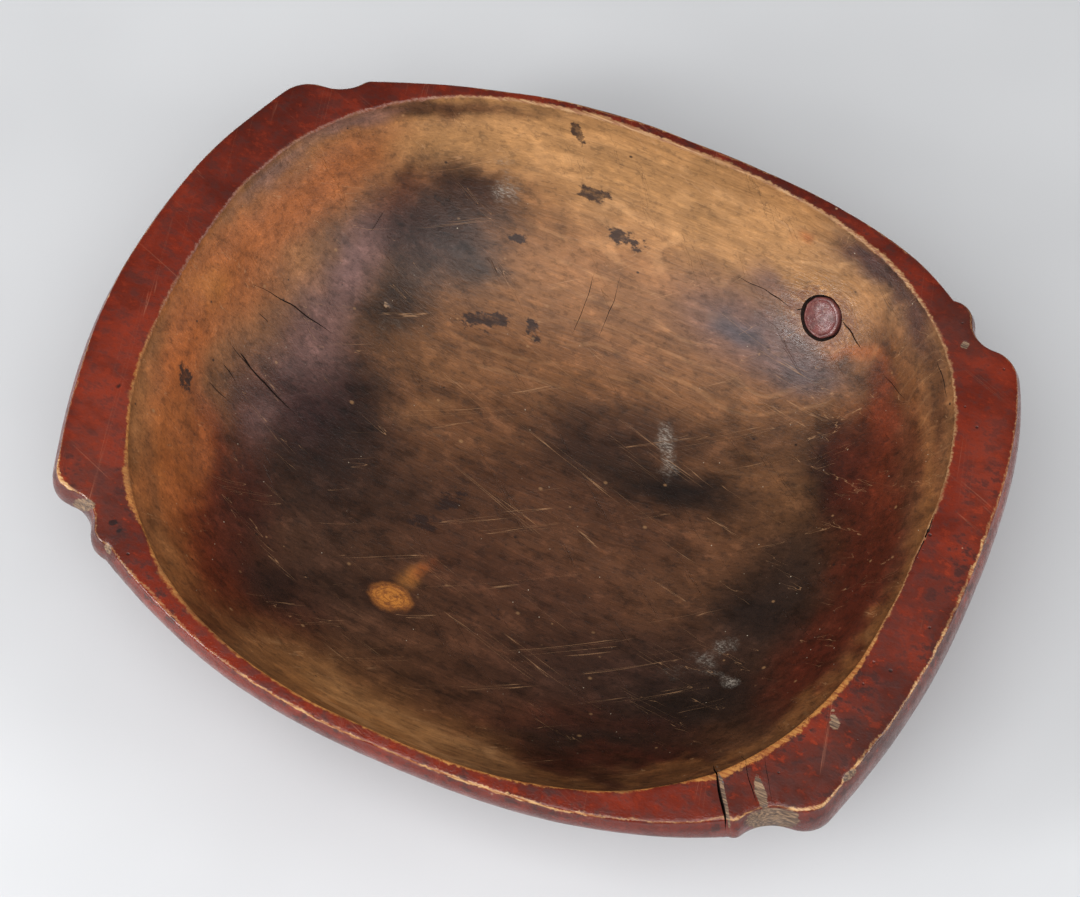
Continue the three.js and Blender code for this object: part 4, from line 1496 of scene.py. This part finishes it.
def edge_colours(g, frayed):
    """The wood that shows where the paint's inner edge is worn, with a painted mauve highlight line
    on the left, and where its outer edge is.
    """
    fibres = g.noise((18, 1.2, 1.2), detail=5)
    tones = (LEFT_HIGHLIGHT_AND_WEAR_TONES, NEAR_TONES, FAR_TONES, OUTER_TONES)
    left, near, far, outer = (g.grained(fibres, *pair) for pair in tones)
    near = g.layered(near, (g.rise(frayed, 0.02, 0.14), 0.7, LINE_RUST))
    # On the left the inner edge takes the painted highlight line.
    inner = g.blend(g.rise(g.along("X"), *LEFT_LINE), far, left)
    return g.blend(g.rise(g.along("Y"), *NEAR_LINE), inner, near), outer


# How far the paint's edges stray, in mm, with a fine noise and with a broad one.
FINE_STRAY = 8
BROAD_STRAY = 9


def edge_wear(g, frayed, broad):
    """Where there is paint, and how worn it is along its inner and its outer edge; on the left the
    worn inner line is coloured as a painted highlight.
    """
    wear = g.mask("wear")
    ragged = g.plus(g.times(frayed, FINE_STRAY), g.times(broad, BROAD_STRAY))
    inner = g.plus(g.mask("inner"), ragged)
    kept = g.minus(inner, g.times(wear, 2.6))
    worn_inner_and_highlight = g.times(g.rise(inner, -2.0, -0.4), g.rise(kept, 2.4, 0.6))
    broken = g.rise(g.plus(broad, g.times(wear, 0.2)), -0.12, 0.06, 0.3, 0.9)

    outer = g.plus(g.mask("outer"), ragged)
    edge = g.calc("ABSOLUTE", g.minus(outer, g.plus(wear, 0.4)))
    edge = g.minus(edge, g.times(wear, 0.7))
    worn_outer = g.rise(g.plus(broad, g.times(wear, 0.16)), 0.0, 0.1)
    worn_outer = g.times(g.rise(edge, 1.3, 0.3), worn_outer)
    worn_outer = g.calc("MAXIMUM", worn_outer, g.rise(edge, 0.9, 0.1, 0, 0.45))
    return g.rise(kept, 0.2, 1.0), g.times(worn_inner_and_highlight, broken), worn_outer


def trough_material():
    g = Graph("painted_wood")
    hollow, hollow_height, hollow_shine = hollow_looks(g)
    red, red_height, red_shine = paint_looks(g)
    frayed = g.swing(g.noise((4.5, 4.5, 4.5), detail=5, roughness=0.75))
    broad = g.swing(g.noise((40, 40, 40), detail=2))
    painted, worn_inner_and_highlight, worn_outer = edge_wear(g, frayed, broad)
    inner_wood_and_highlight, outer_wood = edge_colours(g, frayed)
    bare = g.mask("bare")
    stripped = g.rise(g.plus(bare, g.times(frayed, 1.2)), 0.45, 0.6)
    stripped = g.times(stripped, g.rise(bare, 0.1, 0.3))
    colour = g.layered(
        g.blend(painted, hollow, red),
        (worn_inner_and_highlight, 1.0, inner_wood_and_highlight),
        (worn_outer, 0.85, outer_wood),
        (stripped, 1.0, bare_wood(g)),
    )
    coated = g.rise(g.mask("inner"), 0.2, 1.0)
    height = g.between(coated, hollow_height, red_height)
    height = g.minus(height, g.times(bare, 0.6))
    shine = g.plus(g.between(painted, hollow_shine, red_shine), g.times(stripped, 0.3))
    shine = g.minus(shine, g.rise(g.mask("outer"), 9, 2, 0, 0.13))
    return g.finish(colour, shine, g.bump(height, 0.6), Specular_IOR_Level=0.38)


# The insides of the cracks and of the knot hole are near black: partly the grime of old cracks,
# partly painted shade of these narrow recesses.
CRACK_GRIME_AND_SHADE_TONES = (tint(30, 20, 17), tint(62, 40, 30))


def crack_grime_and_shade_material():
    g = Graph("crack_grime_and_shade")
    fibres = g.noise((14, 0.9, 0.9), detail=5)
    return g.finish(g.grained(fibres, *CRACK_GRIME_AND_SHADE_TONES), 0.85, g.bump(fibres, 0.4))


PLUG_TONES = (tint(128, 76, 74), tint(92, 46, 44))
PLUG_FIBRE = tint(62, 32, 32)
PLUG_SHEEN = tint(170, 140, 136)
PLUG_SCRATCH = tint(196, 160, 140)


def plug_material():
    g = Graph("plug_wood")
    cloud = g.noise((9, 9, 9), detail=6, roughness=0.6)
    fibres = g.noise((3, 1.0, 1.0), detail=6, roughness=0.6)
    wood = g.layered(
        g.grained(cloud, *PLUG_TONES, 0.36, 0.66),
        (g.rise(fibres, 0.5, 0.75), 0.6, PLUG_FIBRE),
        (g.rise(g.noise((6, 3, 3), detail=5), 0.56, 0.72), 0.5, PLUG_SHEEN),
        (g.lines((3, 9, 9), 0.012), 0.4, PLUG_SCRATCH),
    )
    height = g.plus(g.times(cloud, 0.6), g.times(fibres, 0.4))
    return g.finish(wood, g.rise(cloud, 0.3, 0.7, 0.2, 0.42), g.bump(height, 0.5))


FLOOR_TONES = (tint(205, 207, 210), tint(212, 214, 217))


def floor_material():
    g = Graph("studio_floor")
    cloud = g.noise((400, 400, 400), detail=3)
    return g.finish(g.grained(cloud, *FLOOR_TONES, 0.3, 0.7), 0.6, g.bump(cloud, 0.1))


SMOOTH_ANGLE = 42


def dress(piece, body, node):
    """Smooths a finished piece and puts it in its node's place."""
    piece.data.shade_smooth()
    piece.data.set_sharp_from_angle(angle=math.radians(SMOOTH_ANGLE))
    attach(piece, body)
    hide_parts(node)


def build_trough():
    body = make_object("carved_trough", *trough_mesh())
    crack_grime_and_shade = crack_grime_and_shade_material()
    body.data.materials.append(trough_material())
    body.data.materials.append(crack_grime_and_shade)
    # The cut faces of the cracks and of the hole take the dark wood that is partly grime and partly
    # painted shade.
    cutters = [hole_cutter()]
    for index, crack in enumerate(CRACKS):
        seed = CRACK_SEED + CRACK_SEED_STEP * index
        cutters.append(crack_cutter(f"crack_{index}", *crack, seed))
    for cutter in cutters:
        cutter.data.materials.append(crack_grime_and_shade)
        cut(body, cutter)
    mark_trough(body)
    dress(body, "trough", "trough_body")


def build_plug():
    plug = plug_object()
    plug.data.materials.append(plug_material())
    dress(plug, "plug", "knot_plug")


FLOOR_SIZE = 12


def build_stage():
    bpy.ops.mesh.primitive_plane_add(size=FLOOR_SIZE)
    floor = bpy.context.object
    floor.name = "studio_floor"
    floor.data.materials.append(floor_material())


def aim(holder, place, direction):
    holder.location = place
    holder.rotation_euler = Vector(direction).to_track_quat("-Z", "Y").to_euler()
    bpy.context.scene.collection.objects.link(holder)


# The soft boxes: where each stands and what it faces, its size, all in metres, and its watts.
LIGHTS = {
    "above": ((0.25, -1.1, 2.3), (0, 0.05, 0.08), (2.4, 1.6), 42),
    "left_box": ((-1.45, -1.5, 1.1), (0, 0, 0.1), (0.4, 1.1), 30),
    "right_box": ((2.3, 0.2, 1.15), (0, 0, 0.1), (0.7, 1.2), 20),
}
ROOM_COLOUR = (1, 0.98, 0.96, 1)
ROOM_LIGHT = 0.4
ROOM_GLOSS = 0.1


def build_light():
    """A soft studio: a broad box above, two tall ones at the sides and a dim room in the gloss."""
    for name, (place, target, size, power) in LIGHTS.items():
        light = bpy.data.lights.new(name, "AREA")
        light.shape = "RECTANGLE"
        light.size, light.size_y = size
        light.energy = power
        aim(bpy.data.objects.new(name, light), place, Vector(target) - Vector(place))
    world = bpy.data.worlds.new("studio")
    world.use_nodes = True
    tree = world.node_tree
    background = tree.nodes["Background"]
    background.inputs["Color"].default_value = ROOM_COLOUR
    path = tree.nodes.new("ShaderNodeLightPath")
    dim = tree.nodes.new("ShaderNodeMapRange")
    dim.inputs["To Min"].default_value = ROOM_LIGHT
    dim.inputs["To Max"].default_value = ROOM_GLOSS
    tree.links.new(path.outputs["Is Glossy Ray"], dim.inputs["Value"])
    tree.links.new(dim.outputs["Result"], background.inputs["Strength"])
    bpy.context.scene.world = world


def build_camera():
    camera = bpy.data.objects.new("camera", bpy.data.cameras.new("camera"))
    camera.data.sensor_width = SENSOR_WIDTH
    camera.data.lens = FOCAL_PIXELS / FRAME_WIDTH * SENSOR_WIDTH
    aim(camera, CAMERA_PLACE * MM, CAMERA_AIM)
    bpy.context.scene.camera = camera
    bpy.context.scene.view_settings.view_transform = "Standard"


build_camera()
build_stage()
build_light()
build_trough()
build_plug()
